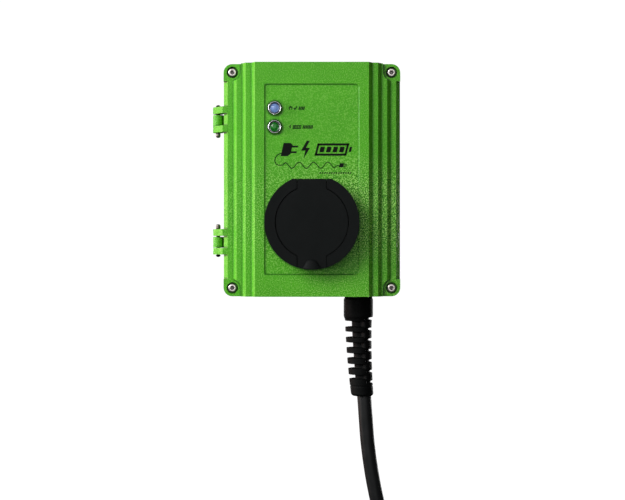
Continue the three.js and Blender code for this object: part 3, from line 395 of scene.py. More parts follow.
MATERIALS = {
    "paint": powder_coat(),
    "stainless": metal("stainless", srgb(214, 206, 202), 0.26, solidity=0.9),
    "pin_steel": metal("pin_steel", srgb(112, 108, 100), 0.34),
    "black_steel": metal("black_steel", srgb(30, 32, 33), 0.4),
    "chrome": chrome(),
    "zinc_steel": metal("zinc_steel", srgb(176, 180, 184), 0.36, (80, 900, 900)),
    "brass": metal("plain_brass", srgb(190, 158, 84), 0.3),
    "silver_plate": metal("silver_plate", srgb(214, 214, 212), 0.24),
    "matt_black": moulded_plastic("matt_black", srgb(11, 14, 14), 0.6, specular=0.09),
    "rubber": rubber("black_rubber", srgb(4, 5, 5), 0.6),
    "sheath": cable_skin(),
    "grey_plastic": moulded_plastic("grey_plastic", srgb(202, 205, 207), 0.5, 1800),
    "dark_plastic": moulded_plastic("dark_plastic", srgb(66, 70, 74), 0.52),
    "circuit_board": solder_mask(),
    "blue_lens": lens("blue_lens", srgb(128, 158, 214), srgb(44, 66, 128)),
    "green_lens": lens("green_lens", srgb(6, 122, 22), srgb(1, 30, 6)),
    "ink": ink(),
    "stage": backdrop(),
}
CORE_COLOURS = {
    "core_brown": srgb(92, 58, 30),
    "core_black": srgb(22, 23, 24),
    "core_grey": srgb(130, 134, 138),
    "core_blue": srgb(30, 78, 160),
    "core_earth": srgb(156, 176, 34),
}
for core, core_colour in CORE_COLOURS.items():
    MATERIALS[core] = moulded_plastic(core, core_colour, 0.4)


# ---- mesh tools

def new_piece(name, shape, material, smooth=True):
    """Object from a shape, which is its points in millimetres and its faces."""
    points, faces = shape
    mesh = bpy.data.meshes.new(name)
    mesh.from_pydata([(x * MM, y * MM, z * MM) for x, y, z in points], [], faces)
    cleaned = bmesh.new()
    cleaned.from_mesh(mesh)
    bmesh.ops.remove_doubles(cleaned, verts=cleaned.verts, dist=1e-7)
    bmesh.ops.recalc_face_normals(cleaned, faces=cleaned.faces)
    cleaned.to_mesh(mesh)
    cleaned.free()
    for face in mesh.polygons:
        face.use_smooth = smooth
    mesh.materials.append(material)
    piece = bpy.data.objects.new(name, mesh)
    SCENE.collection.objects.link(piece)
    return piece


def merge(piece, operation, tool):
    """Joins or cuts a piece with another, which it uses up."""
    step = piece.modifiers.new("step", "BOOLEAN")
    step.operation = operation
    step.solver = "EXACT"
    step.object = tool
    graph = bpy.context.evaluated_depsgraph_get()
    mesh = bpy.data.meshes.new_from_object(piece.evaluated_get(graph))
    piece.modifiers.clear()
    old = piece.data
    piece.data = mesh
    mesh.name = piece.name
    bpy.data.meshes.remove(old)
    bpy.data.objects.remove(tool)


def combine(piece, operation, shapes):
    for shape in shapes:
        merge(piece, operation, new_piece("tool", shape, piece.data.materials[0]))


def soften(piece, width, segments=3, angle=32):
    """Rounds a piece's edges sharper than angle, and shades it by its large faces."""
    flat = piece.modifiers.new("flat", "DECIMATE")
    flat.decimate_type = "DISSOLVE"
    flat.angle_limit = math.radians(0.8)
    soft = piece.modifiers.new("soft", "BEVEL")
    soft.width = width * MM
    soft.segments = segments
    soft.limit_method = "ANGLE"
    soft.angle_limit = math.radians(angle)
    soft.harden_normals = False
    soft.miter_outer = "MITER_ARC"
    shade = piece.modifiers.new("shade", "WEIGHTED_NORMAL")
    shade.keep_sharp = False
    for face in piece.data.polygons:
        face.use_smooth = True


def add(name, shape, look, body, edges=None, at=None, cuts=(), replaces=()):
    """Piece that rides on a body. Its edges are given as for soften()."""
    piece = new_piece(name, shape, MATERIALS[look])
    combine(piece, "DIFFERENCE", cuts)
    if at:
        piece.data.transform(Matrix.Translation(Vector(at) * MM))
    if edges:
        soften(piece, *edges)
    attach(piece, body)
    if replaces:
        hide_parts(*replaces)


def lofted(rings, first_cap=True, last_cap=True):
    """Skin over closed rings of points. A ring of one point is a tip."""
    points = []
    rows = []
    for ring in rings:
        rows.append(tuple(range(len(points), len(points) + len(ring))))
        points += ring
    faces = []
    for first, second in zip(rows, rows[1:]):
        count = max(len(first), len(second))
        for i in range(count):
            j = (i + 1) % count
            corners = [first[i % len(first)], first[j % len(first)],
                       second[j % len(second)], second[i % len(second)]]
            unique = tuple(dict.fromkeys(corners))
            if len(unique) > 2:
                faces.append(unique)
    faces += rows[:first_cap] + rows[-1:] * last_cap
    return points, faces


def circle(x, z, radius, sides):
    return arc(x, z, radius, 0, 1 - 1 / sides, sides - 1)


def turned(profile, sides):
    """A profile of (radius, y) turned about the Y axis."""
    rings = []
    for radius, y in profile:
        outline = circle(0, 0, radius, sides) if radius else [(0, 0)]
        rings.append([(x, y, z) for x, z in outline])
    return lofted(rings, False, False)


def slab(outline, y_back, y_front):
    """Outline of (x, z) points pushed from y_back to y_front."""
    count = len(outline)
    points = [(x, y, z) for y in (y_back, y_front) for x, z in outline]
    faces = [tuple(range(count)), tuple(range(2 * count - 1, count - 1, -1))]
    for i in range(count):
        j = (i + 1) % count
        faces.append((i, j, count + j, count + i))
    return points, faces


def block(low, high):
    outline = [(low[0], low[2]), (high[0], low[2]), (high[0], high[2]), (low[0], high[2])]
    return slab(outline, low[1], high[1])


def arc(x, z, radius, start, end, steps):
    """Points of an arc, with its angles in turns."""
    points = []
    for i in range(steps + 1):
        angle = TURN * (start + (end - start) * i / steps)
        points.append((x + radius * math.cos(angle), z + radius * math.sin(angle)))
    return points


def cylinder_y(x, z, radius, y_back, y_front, sides=120):
    return slab(circle(x, z, radius, sides), y_back, y_front)


def cylinder_x(y, z, radius, x_low, x_high, sides=48):
    points, faces = slab(circle(y, z, radius, sides), x_low, x_high)
    return [(y, x, z) for x, y, z in points], faces


def swept(path, radius, sides):
    """Round bar along a path, closed at both ends."""
    rings = []
    side = Vector((0, 1, 0))
    for i, centre in enumerate(path):
        direction = (path[min(i + 1, len(path) - 1)] - path[max(i - 1, 0)]).normalized()
        side = (side - direction * side.dot(direction)).normalized()
        across = direction.cross(side)
        rings.append([centre + u * side + v * across for u, v in circle(0, 0, radius, sides)])
    return lofted(rings)


# ---- CAD nodes

CAD_EDGES = {"lid_cover": (0.3, 3), "base_housing": (0.7, 3)}
OTHER_CAD_EDGES = (0.25, 2)


def dress_frame():
    """Gives every CAD node its material and softened edges."""
    slots = {row["node"]: row["material_slot"] for row in frame["record"]["subparts"]}
    for name, piece in frame["nodes"].items():
        piece.data.materials.clear()
        piece.data.materials.append(MATERIALS[slots[name]])
        weld = piece.modifiers.new("weld", "WELD")
        weld.merge_threshold = 1e-6
        soften(piece, *CAD_EDGES.get(name, OTHER_CAD_EDGES))


# ---- socket outlet

SEAM = 0.85                # gap between the flap and its seat
TAB = 14.3                 # half the width of the flap's hinge tab and foot
TAB_PLAY = 0.6
SOCKET_BORE = 35
FLAP_RADIUS = 35.7
FLAP_THICKNESS = 5.5
FLAP_SINK = 0.2            # depth of the flap's face behind the ring's
FLAP_BARREL = 3.3          # radius of the barrel around the hinge pin
FLAP_BORE = 1.56
WELL_DEPTH = 6.5
SLOT_START = 25            # height from the centre where the slots for the tab and foot begin
PIN_POCKET = 6.4           # depth behind the pin of the pocket for the tab's edge
SPRING_POCKET = 5.2        # half the width of the pocket around the spring
PAST = 1                   # how far a cutting tool goes beyond the surface that it cuts


def flat_topped(radius, flat_top, z, steps=150):
    """Round outline about x = 0 with a flat top, without repeating its first point."""
    start = math.asin(flat_top / radius) / TURN
    return arc(0, z, radius, 0.5 - start, 1 + start, steps)


def socket_outlet():
    ring = Place("socket_flange")
    pin = Place("flap_hinge_pin")
    spring = Place("flap_spring")
    radius = ring.size.x / 2
    centre = ring.low.z + radius
    top = ring.high.z
    front = ring.low.y
    back = ring.high.y
    well_floor = front + WELL_DEPTH
    slot = TAB + TAB_PLAY
    outline = flat_topped(radius, top - centre, centre)
    add("socket_ring", slab(outline, back, front), "matt_black", "lid", (0.7, 4, 28), cuts=[
        cylinder_y(0, centre, SOCKET_BORE, back + PAST, front - PAST),
        cylinder_y(0, centre, FLAP_RADIUS + SEAM, well_floor, front - PAST, 150),
        block((-slot, front - PAST, centre + SLOT_START),
              (slot, pin.centre.y + PIN_POCKET, top + PAST)),
        block((-slot, front - PAST, ring.low.z - PAST), (slot, well_floor, centre - SLOT_START)),
        cylinder_x(pin.centre.y, pin.centre.z, pin.size.z / 2, pin.low.x - 0.5, pin.high.x + 0.5),
    ], replaces=["socket_flange"])

    face = front + FLAP_SINK
    inner = face + FLAP_THICKNESS
    tab_root = centre + 20
    black = MATERIALS["matt_black"]
    disc = cylinder_y(0, centre, FLAP_RADIUS, inner, face, 150)
    cover = new_piece("socket_cover", disc, black)
    combine(cover, "UNION", [
        block((-TAB, face, tab_root), (TAB, pin.centre.y, top - 0.1)),
        block((-TAB, face, tab_root), (TAB, inner, pin.centre.z - 1)),
        cylinder_x(pin.centre.y, pin.centre.z, FLAP_BARREL, -TAB, TAB),
    ])
    outline = flat_topped(radius - 0.25, top - centre, centre)
    foot = new_piece("foot", slab(outline, inner, face), black)
    combine(foot, "INTERSECT", [
        block((-TAB, face - PAST, ring.low.z - PAST), (TAB, inner + PAST, centre - SLOT_START))])
    merge(cover, "UNION", foot)
    combine(cover, "DIFFERENCE", [
        cylinder_x(pin.centre.y, pin.centre.z, FLAP_BORE, -20, 20),
        block((-SPRING_POCKET, pin.centre.y - 2.9, pin.centre.z - 3.9),
              (SPRING_POCKET, spring.high.y + 4, pin.centre.z + 6)),
    ])
    soften(cover, 0.55, 4, 28)
    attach(cover, "flap")
    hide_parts("socket_flap")
    thumb_lift(radius, centre, face)


THUMB_RISE = 0.55          # height of its foot above the ring's lowest point
THUMB_HEIGHT = 9.6
THUMB_WIDTH = 9.3          # half its width at the foot
THUMB_TAPER = 5.2
THUMB_DEPTH = 3.3
DEPTH_TAPER = 1.5
HEAD_START = 0.72          # share of the height where the rounded head begins
THUMB_ROOT = 0.15          # how far it is sunk into the flap


def thumb_lift(radius, centre, face):
    """Half cone with a rounded head, moulded on the foot of the flap."""
    rim = radius - 0.45
    levels = 26
    sides = 40
    rings = []
    for i in range(levels + 1):
        share = i / levels
        z = centre - radius + THUMB_RISE + THUMB_HEIGHT * share
        into_head = max(0.0, (share - HEAD_START) / (1 - HEAD_START))
        head = math.sqrt(max(0.0, 1 - into_head ** 2.4))
        half = (THUMB_WIDTH - THUMB_TAPER * share) * head
        depth = (THUMB_DEPTH - DEPTH_TAPER * share) * head
        ring = []
        for k in range(sides + 1):
            angle = math.pi * k / sides
            x = -half * math.cos(angle)
            sag = rim - math.sqrt(max(0.0, rim ** 2 - x ** 2))
            y = face + THUMB_ROOT - (depth + THUMB_ROOT) * math.sin(angle) ** 0.9
            ring.append((x, y, z + sag * (1 - share) ** 3))
        rings.append(ring)
    add("flap_thumb_lift", lofted(rings, last_cap=False), "matt_black", "flap", (0.3, 2, 45))


# ---- lamps, screws and hinge pins

PANEL_DEPTH = 3.6          # from the front of a lamp's bezel to the label panel
BEZEL_LIP = 5.15           # radius inside the bezel's lip
BEZEL_NECK = 5.9
BEZEL_BORE = 2
BEZEL_PROFILE = [          # radius, and depth behind the front
    (BEZEL_LIP, 4.0), (BEZEL_LIP, 2.4), (5.4, 2.0), (5.62, 1.3), (5.74, 0.4), (5.9, 0.08),
    (6.1, 0.0), (6.3, 0.08), (6.5, 0.3), (6.6, 0.7), (7.1, 2.2), (7.4, 2.8), (7.5, 3.2),
    (7.45, 3.5), (BEZEL_NECK, 3.5),
]
LENS_CROWN = 2.2


def lamp(kind, tint):
    """Bright bezel with a domed lens."""
    bezel = Place(f"{kind}_lamp_bezel")
    glass = Place(f"{kind}_lamp_lens")
    at = (bezel.centre.x, 0, bezel.centre.z)
    front = bezel.low.y
    back = bezel.high.y
    seat = front + PANEL_DEPTH + 4
    rim = [(radius, front + depth) for radius, depth in BEZEL_PROFILE]
    rim += [(BEZEL_NECK, back), (BEZEL_BORE, back), (BEZEL_BORE, seat), (BEZEL_LIP, seat), rim[0]]
    add(f"{kind}_lamp_ring", turned(rim, 96), "chrome", "lid", (0.08, 2, 50), at,
        replaces=[f"{kind}_lamp_bezel"])

    radius = glass.size.x / 2
    dome = [(radius * out, glass.low.y + LENS_CROWN * (1 - rise))
            for rise, out in arc(0, 0, 1, 0, 0.25, 18)]
    dome += [(radius, glass.high.y), (0, glass.high.y)]
    add(f"{kind}_lamp_dome", turned(dome, 72), tint, "lid", (0.05, 1, 60), at,
        replaces=[f"{kind}_lamp_lens"])


SCREW_HEAD = 4.85          # height of a lid screw's head
SHANK = 2.5
THREAD_ROOT = 2.1
THREAD_PITCH = 0.8
HEX_RADIUS = 2.35
HEX_DEPTH = 2.8


def lid_screw(number, turn):
    """Cap screw with a hexagon socket, turned by a share of a full turn."""
    node = f"lid_screw_{number}"
    place = Place(node)
    radius = place.size.x / 2
    front = place.low.y
    under = front + SCREW_HEAD
    end = place.high.y
    profile = [(0, front), (radius - 1.3, front), (radius - 0.55, front + 0.15),
               (radius - 0.12, front + 0.65), (radius, front + 1.2), (radius, under),
               (SHANK, under)]
    y = under + 1.5
    while y < end - 2:
        profile += [(SHANK, y), (THREAD_ROOT, y + THREAD_PITCH / 2)]
        y += THREAD_PITCH
    profile += [(2.4, y), (1.7, end), (0, end)]
    hexagon = arc(0, 0, HEX_RADIUS, turn, turn + 5 / 6, 5)
    add(f"cap_screw_{number}", turned(profile, 72), "stainless", "lid", (0.12, 2, 40),
        (place.centre.x, 0, place.centre.z),
        [slab(hexagon, front + HEX_DEPTH, front - PAST)], replaces=[node])


PIN_RADIUS = 2
PIN_TIP_RADIUS = 1.5
PIN_HEAD = [(0, 0), (0.9, 0.05), (1.6, 0.3), (2.1, 0.85), (2.35, 1.6), (2.4, 2.3), (2.4, 4.4),
            (2.2, 4.8)]    # radius, and distance from the top of the head


def hinge_pin(end):
    """Loose pin with a domed head. The two heads face each other."""
    node = f"hinge_pin_{end}"
    place = Place(node)
    middle = place.centre
    head, tip = place.low.z, place.high.z
    if end == "lower":
        head, tip = tip, head
    onward = 1 if tip > head else -1
    reach = abs(tip - head)
    widest = max(radius for radius, _ in PIN_HEAD)
    rim = [(radius * place.size.x / 2 / widest, depth) for radius, depth in PIN_HEAD]
    rim += [(PIN_RADIUS, PIN_HEAD[-1][1]), (PIN_RADIUS, reach - 2.7),
            (PIN_RADIUS - 0.15, reach - 2.6), (PIN_TIP_RADIUS, reach - 2.55),
            (PIN_TIP_RADIUS, reach - 0.5), (1.1, reach), (0, reach)]
    points, faces = turned(rim, 48)
    upright = [(x + middle.x, z + middle.y, head + onward * y) for x, y, z in points]
    add(f"{node}_turned", (upright, faces), "pin_steel", "housing", (0.08, 2, 50),
        replaces=[node])


# ---- cable and boot

CABLE_PATH = smooth_path(centreline("cable_sheath", 4), 10)
CABLE_RADIUS = 7.45
CORE_RADIUS = 1.9
FERRULE_RADIUS = 2.05

COLLAR_RADIUS = 15.5       # boot, from its top down to the shoulder
NECK_RADIUS = 14.2
END_RADIUS = 11.8
BOOT_SHOULDER = 18.1       # these four are distances below the boot's top
BOOT_NECK = 23.1
FIRST_SLOT = 26.9
SLOT_PITCH = 11.1
SLOT_COUNT = 6
BOOT_CORE = 8.1            # radius of the sleeve at the bottom of the slots
BOOT_MOUTH = 7.7


def boot():
    """Ribbed strain relief: deep slots on its left, narrow notches on its right."""
    place = Place("strain_relief_boot")
    washer = Place("gland_washer")
    top = place.high.z
    end = place.low.z
    shoulder = top - BOOT_SHOULDER
    neck = top - BOOT_NECK

    def envelope(z):
        if z > shoulder:
            radius = COLLAR_RADIUS
        elif z > neck:
            radius = NECK_RADIUS + (COLLAR_RADIUS - NECK_RADIUS) * ease(z, neck, shoulder)
        else:
            radius = END_RADIUS + (NECK_RADIUS - END_RADIUS) * (z - end) / (neck - end)
        round_top = max(0.0, z - (top - 1.2)) / 1.2
        round_end = max(0.0, (end + 2.5) - z) / 2.5
        groove = between(z, end + 10, end + 11, 0.6)
        return radius - 0.9 * round_top ** 2 - 1.8 * round_end ** 2 - 0.5 * groove

    def bend(z):
        return 3.8 * (max(0.0, shoulder - z) / 80) ** 2

    slots = []
    notches = [(top - FIRST_SLOT + SLOT_PITCH / 2, 3.5)]
    for i in range(SLOT_COUNT):
        middle = top - FIRST_SLOT - i * SLOT_PITCH
        half = (5.9 - 0.4 * i) / 2
        slots.append((middle - half, middle + half))
        notches.append((middle - SLOT_PITCH / 2, 3.4 - 0.25 * i))

    levels = 350
    sides = 112
    rings = []
    for i in range(levels + 1):
        z = top + (end - top) * i / levels
        middle = Vector((washer.centre.x + bend(z), washer.centre.y))
        away = along(CABLE_PATH, z).xy - middle
        outer = envelope(z)
        slot = max(between(z, low, high, 0.8) for low, high in slots)
        notch = max(depth * between(z, at - 1.25, at + 1.25, 1.1) for at, depth in notches)
        ring = []
        for k, direction in enumerate(circle(0, 0, 1, sides)):
            ray = Vector(direction)
            half_turns = 2 * k / sides
            left = between(half_turns, 0.55, 1.62, 0.07)
            right = 1 - between(half_turns, 0.45, 1.67, 0.07)
            ahead = ray.dot(away)
            inside = max(0.0, BOOT_CORE ** 2 - away.length_squared + ahead ** 2)
            core = min(ahead + math.sqrt(inside), outer)
            radius = outer + (core - outer) * slot * left - notch * right
            ring.append((*(middle + radius * ray), z))
        rings.append(ring)
    mouth = along(CABLE_PATH, end)
    lip = circle(mouth.x, mouth.y, BOOT_MOUTH, sides)
    rings.append([(x, y, end + 0.2) for x, y in lip])
    add("ribbed_boot", lofted(rings), "rubber", "housing", replaces=["strain_relief_boot"])


def cable_and_cores():
    """Supply cable, and its five cores with crimped ends."""
    add("supply_cable", swept(CABLE_PATH, CABLE_RADIUS, 40), "sheath", "housing", (0.4, 2, 50),
        replaces=["cable_sheath"])
    for node in CORE_COLOURS:
        colour = node.removeprefix("core_")
        path = smooth_path(centreline(node, 1.6), 6)
        add(f"insulated_{node}", swept(path, CORE_RADIUS, 28), node, "housing", (0.15, 2, 50),
            replaces=[node])
        onward = (path[-1] - path[-3]).normalized()
        ferrule = [path[-1] + onward * step for step in (-3, -2.2, -0.6, 0.2)]
        add(f"ferrule_{colour}", swept(ferrule, FERRULE_RADIUS, 24), "silver_plate", "housing",
            (0.12, 2, 50))


# ---- panel pictograms

INK_HEIGHT = 0.07
INK_ROOT = 0.1             # how far the print reaches into the panel


class Ink:
    """Print on the label panel."""

    def __init__(self, name):
        self.name = name
        self.points = []
        self.faces = []
        self.y = Place("ready_lamp_bezel").low.y + PANEL_DEPTH

    def area(self, *outline):
        points, faces = slab(outline, self.y + INK_ROOT, self.y - INK_HEIGHT)
        first = len(self.points)
        self.points += points
        self.faces += [tuple(first + i for i in face) for face in faces]

    def line(self, path, width):
        """Stroke of even width with mitred corners."""
        left = []
        right = []
        for i, here in enumerate(map(Vector, path)):
            before = here - Vector(path[max(i - 1, 0)])
            after = Vector(path[min(i + 1, len(path) - 1)]) - here
            steps = [step.normalized() for step in (before, after) if step.length > 1e-6]
            normals = [Vector((-step.y, step.x)) for step in steps]
            normal = sum(normals, Vector((0, 0))).normalized()
            offset = normal * width / 2 / max(0.5, normal.dot(normals[0]))
            left.append(tuple(here + offset))
            right.append(tuple(here - offset))
        self.area(*left, *right[::-1])

    def bolt(self, x, z, height):
        """Lightning bolt about its middle."""
        h = height / 2
        corners = [(0.15, 1), (-0.5, -0.12), (-0.02, -0.12), (-0.2, -1), (0.52, 0.2), (0.05, 0.2),
                   (0.5, 1)]
        self.area(*[(x + right * h, z + up * h) for right, up in corners])

    def leaning(self, low, high, slant):
        """Upright bar from low to high whose top is moved right by slant."""
        (x0, z0), (x1, z1) = low, high
        self.area((x0, z0), (x1, z0), (x1 + slant, z1), (x0 + slant, z1))

    def bars(self, x, z, count, width, pitch, height, slant):
        for i in range(count):
            left = x + i * pitch
            self.leaning((left, z - height / 2), (left + width, z + height / 2), slant)

    def battery(self, low, high, width, slant):
        """Outline of a leaning battery."""
        (x0, z0), (x1, z1) = low, high
        share = slant * width / (z1 - z0)
        self.leaning(low, (x1, z0 + width), share)
        self.leaning((x0 + slant - share, z1 - width), (x1 + slant - share, z1), share)
        for x in (x0, x1 - width):
            self.leaning((x, z0), (x + width, z1), slant)

    def finish(self):
        piece = new_piece(self.name, (self.points, self.faces), MATERIALS["ink"], smooth=False)
        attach(piece, "lid")


def pictograms():
    """Lamp signs, plug with bolt and battery, cord, and level marks."""
    ready = Ink("ready_pictogram")
    x = -21.4
    z = Place("ready_lamp_bezel").centre.z
    ready.line(arc(x, z, 1.45, -0.17, 0.67, 40), 0.8)
    ready.line([(x, z + 0.3), (x, z + 2.2)], 0.75)
    ready.line([(-18.2, z + 0.2), (-17.2, z - 1.2), (-14.9, z + 1.9)], 1.0)
    ready.bars(-13.6, z, 4, 1.05, 1.55, 3.4, 0.9)
    ready.finish()

    charging = Ink("charging_pictogram")
    z = Place("charging_lamp_bezel").centre.z
    charging.bolt(-22.0, z, 4.2)
    charging.battery((-19.6, z - 1.8), (-11.2, z + 1.8), 0.75, 0.8)
    charging.bars(-18.2, z, 4, 0.95, 1.6, 1.6, 0.35)
    charging.bars(-9.6, z, 7, 1.0, 1.5, 3.5, 0.9)
    charging.finish()

    charge = Ink("charge_pictogram")
    z = 30.0
    charge.area((-31.5, z - 6.6), (-24.5, z - 6.6), (-21.6, z - 4.6), (-19.4, z + 4.6),
                (-21.4, z + 6.6), (-28.4, z + 6.6))
    charge.area((-20.6, z + 2.1), (-14.2, z + 2.1), (-13.8, z + 3.9), (-20.1, z + 3.9))
    charge.area((-21.9, z - 3.6), (-15.6, z - 3.6), (-15.2, z - 1.8), (-21.4, z - 1.8))
    charge.bolt(-6.5, z, 17.5)
    charge.battery((2.6, z - 6.2), (34.5, z + 6.2), 2.1, 3.2)
    charge.area((36.9, z - 2.4), (39.3, z - 2.4), (40.6, z + 2.6), (38.2, z + 2.6))
    charge.bars(7.4, z, 4, 4.4, 6.6, 5.4, 1.4)
    charge.finish()

    cord = Ink("cable_pictogram")
    path = [(-31.0, 26.2), (-34.4, 24.8), (-36.8, 21.8), (-37.4, 18.4), (-36.2, 15.6),
            (-33.6, 14.2)]
    start, length, z = -31.0, 58, 14.2
    wave, waves = 3.1, 4
    for i in range(73):
        share = i / 72
        swell = ease(share, 0, 0.1) * (1 - ease(share, 0.9, 1))
        path.append((start + length * share, z + wave * math.sin(TURN * waves * share) * swell))
    cord.line(path, 0.8)
    cord.leaning((27.0, 12.2), (31.2, 16.2), 1.2)
    for z in (13.0, 14.9):
        cord.leaning((31.4, z), (35.0, z + 0.75), 0.2)
    cord.finish()

    level = Ink("level_marks")
    level.bars(7.5, 6.4, 14, 1.25, 2.35, 1.5, 0.5)
    level.finish()


# ---- equipment behind the lid

BOARD_BACK = -21.5
BOARD_FRONT = BOARD_BACK - 1.6
BOARD_PARTS = [            # name, look, edge; low x and z, high x and z, height above the board
    ("board_relay", "matt_black", 0.8, (-72, 60), (-56, 84), 15),
    ("board_transformer", "dark_plastic", 0.6, (-50, 58), (-30, 80), 17),
    ("board_header", "grey_plastic", 0.4, (-72, 18), (-32, 26), 9),
    ("board_processor", "matt_black", 0.15, (-58, 34), (-44, 48), 1.4),
]
WINDING = ((-47.5, BOARD_FRONT - 17.6, 60.5), (-32.5, BOARD_FRONT - 2, 77.5))
PROCESSOR_PINS = 12
PIN_PITCH = 1.05
CAPACITOR = [              # radius, and height above the board
    (0, 16.4), (3.9, 16.4), (4.3, 16.1), (4.5, 15.4), (4.5, 3.2), (4.1, 2.6), (4.5, 2.0),
    (4.5, 0), (0, 0),
]
CAPACITOR_PLACE = (-67, 0, 50)
CHIPS = [(-66, 30), (-38, 30), (-38, 36), (-38, 42), (-66, 36), (-52, 53), (-44, 53)]
BOARD_SCREWS = [(-70, 30), (-32, 30), (-70, 55), (-32, 54)]


def screw_head(name, place, radius, turn):
    """Pan head with a cross recess, turned by a share of a full turn."""
    x, y, z = place
    profile = [(0, y - 1.6), (radius * 0.55, y - 1.5), (radius * 0.85, y - 1.1),
               (radius, y - 0.4), (radius, y), (0, y)]
    arms = []
    for quarter in (0, 0.25):
        angle = TURN * (turn + quarter)
        length = Vector((math.cos(angle), math.sin(angle))) * radius * 0.62
        width = Vector((-math.sin(angle), math.cos(angle))) * radius * 0.13
        corners = [length + width, width - length, -length - width, length - width]
        arms.append(slab(corners, y - 0.8, y - 3))
    add(name, turned(profile, 32), "zinc_steel", "housing", (0.08, 1, 40), (x, 0, z), arms)


def circuit_board():
    """Control board."""
    def part(name, low, high, look, edge):
        add(name, block(low, high), look, "housing", (edge,))

    place = Place("control_board")
    sheet = block((place.low.x, BOARD_FRONT, place.low.z), (place.high.x, BOARD_BACK, place.high.z))
    add("board_sheet", sheet, "circuit_board", "housing", (0.3, 2), replaces=["control_board"])
    for name, look, edge, (x0, z0), (x1, z1), height in BOARD_PARTS:
        part(name, (x0, BOARD_FRONT - height, z0), (x1, BOARD_FRONT, z1), look, edge)
    part("board_winding", *WINDING, "core_earth", 1.2)
    for i in range(PROCESSOR_PINS):
        z = 35.2 + PIN_PITCH * i
        for side, x in (("l", -59.4), ("r", -44)):
            part(f"processor_pin_{side}{i}", (x, BOARD_FRONT - 0.5, z),
                 (x + 1.4, BOARD_FRONT, z + 0.5), "silver_plate", 0.08)
    can = [(radius, BOARD_FRONT - height) for radius, height in CAPACITOR]
    add("board_capacitor", turned(can, 40), "stainless", "housing", (0.15, 2, 40),
        CAPACITOR_PLACE)
    for i, (x, z) in enumerate(CHIPS):
        part(f"board_chip_{i + 1}", (x - 1.6, BOARD_FRONT - 0.9, z - 0.9),
             (x + 1.6, BOARD_FRONT, z + 0.9), "dark_plastic", 0.12)
    for i in range(8):
        screw_head(f"header_screw_{i + 1}", (-69.5 + 5 * i, BOARD_FRONT - 9, 21.6), 1.7, 0.04 * i)
    for i, (x, z) in enumerate(BOARD_SCREWS):
        screw_head(f"board_screw_{i + 1}", (x, BOARD_FRONT, z), 2.4, 0.07 * i + 0.03)


DEVICE_SHOULDER = 27       # from the back of a rail device to its terminals' shoulder
CONTACTOR = Place("contactor")
TERMINALS = Place("terminal_block")
POLES = [TERMINALS.low.x + 4 + 8 * i for i in range(5)]  # middles of the terminals


def device_details():
    """Screws, windows and switches of the rail devices, and the terminal block's screws."""
    for node, tint in [("contactor", "blue_lens"), ("power_supply", "green_lens")]:
        place = Place(node)
        nose = place.low.y
        middle = place.centre
        shoulder = place.high.y - DEVICE_SHOULDER
        for i in range(2):
            for side, row in ((-1, "b"), (1, "a")):
                at = (place.low.x + 9 + 18 * i, shoulder + 5.6, middle.z + side * 31)
                screw_head(f"{node}_screw_{i + 1}{row}", at, 2.5, 0.03 + 0.09 * i)
        window = block((middle.x - 9, nose - 0.25, middle.z + 3),
                       (middle.x + 9, nose + 1, middle.z + 11))
        add(f"{node}_window", window, "dark_plastic", "housing", (0.6,))
        profile = [(0, nose - 1.2), (1.2, nose - 0.95), (1.75, nose - 0.2), (1.75, nose + 1),
                   (0, nose + 1)]
        add(f"{node}_light", turned(profile, 24), tint, "housing",
            at=(middle.x - 9, 0, middle.z - 9))
        switch = block((middle.x + 1, nose - 2.2, middle.z - 12),
                       (middle.x + 8, nose + 1, middle.z - 6))
        add(f"{node}_slide", switch, "matt_black", "housing", (0.5,))
    for i, x in enumerate(POLES):
        at = (x, TERMINALS.low.y + 3.4, TERMINALS.low.z + 12)
        screw_head(f"terminal_screw_{i + 1}", at, 2.1, 0.05 * i)


# ---- wiring

INLET_RADIUS = 1.8
LOOM_RADIUS = 1.7
LEAD_RADIUS = 0.9
TERMINAL_Y = -27.6         # depth at which cores enter the terminal block
CONTACTOR_Y = CONTACTOR.high.y - DEVICE_SHOULDER + 1.5
LOOM_X = -77               # line of the loom along the hinge side
LID_Y = -75.8              # depth of the loom's end on the lid
CONTACTOR_POLES = [CONTACTOR.low.x + right for right in (6.5, 11.5, 24.5, 29.5)]
LOOM = {                   # colour: height at the hinge, and the contact that the core feeds
    "core_brown": (-2.2, "contact_line_1"),
    "core_black": (2.2, "contact_line_2"),
    "core_grey": (6.6, "contact_line_3"),
    "core_blue": (-6.6, "contact_neutral"),
    "core_earth": (-11, "contact_earth"),
}


def strand(path, radius, steps=8):
    return swept(smooth_path([Vector(point) for point in path], steps), radius, 16)


def wire(name, path, radius, look, body="housing"):
    add(name, strand(path, radius), look, body)


def wiring():
    inlet_cores()
    feeders()
    x = POLES[-1]
    high = TERMINALS.high.z
    wire("earth_bond", [(x, TERMINAL_Y, high - 3), (x, -28, high + 4), (56, -20, -44),
                        (20, -18, -48), (-30, -19, -50), (-58, -21, -54), (-65, -22.5, -58)],
         INLET_RADIUS, "core_earth")
    loom()
    lid_leads()


def inlet_cores():
    mouth = CABLE_PATH[0]
    foot = TERMINALS.low.z
    for i, (core, x) in enumerate(zip(CORE_COLOURS, POLES)):
        angle = TURN * (i / 5 + 0.1)
        start_x = mouth.x - 3.6 * math.cos(angle)
        start_y = mouth.y + 3.6 * math.sin(angle)
        wire(f"inlet_{core}", [
            (start_x, start_y, mouth.z - 1), (start_x, start_y, mouth.z + 4),
            (x, TERMINAL_Y, foot - 7), (x, TERMINAL_Y, foot - 3), (x, TERMINAL_Y, foot + 4)],
            INLET_RADIUS, core)


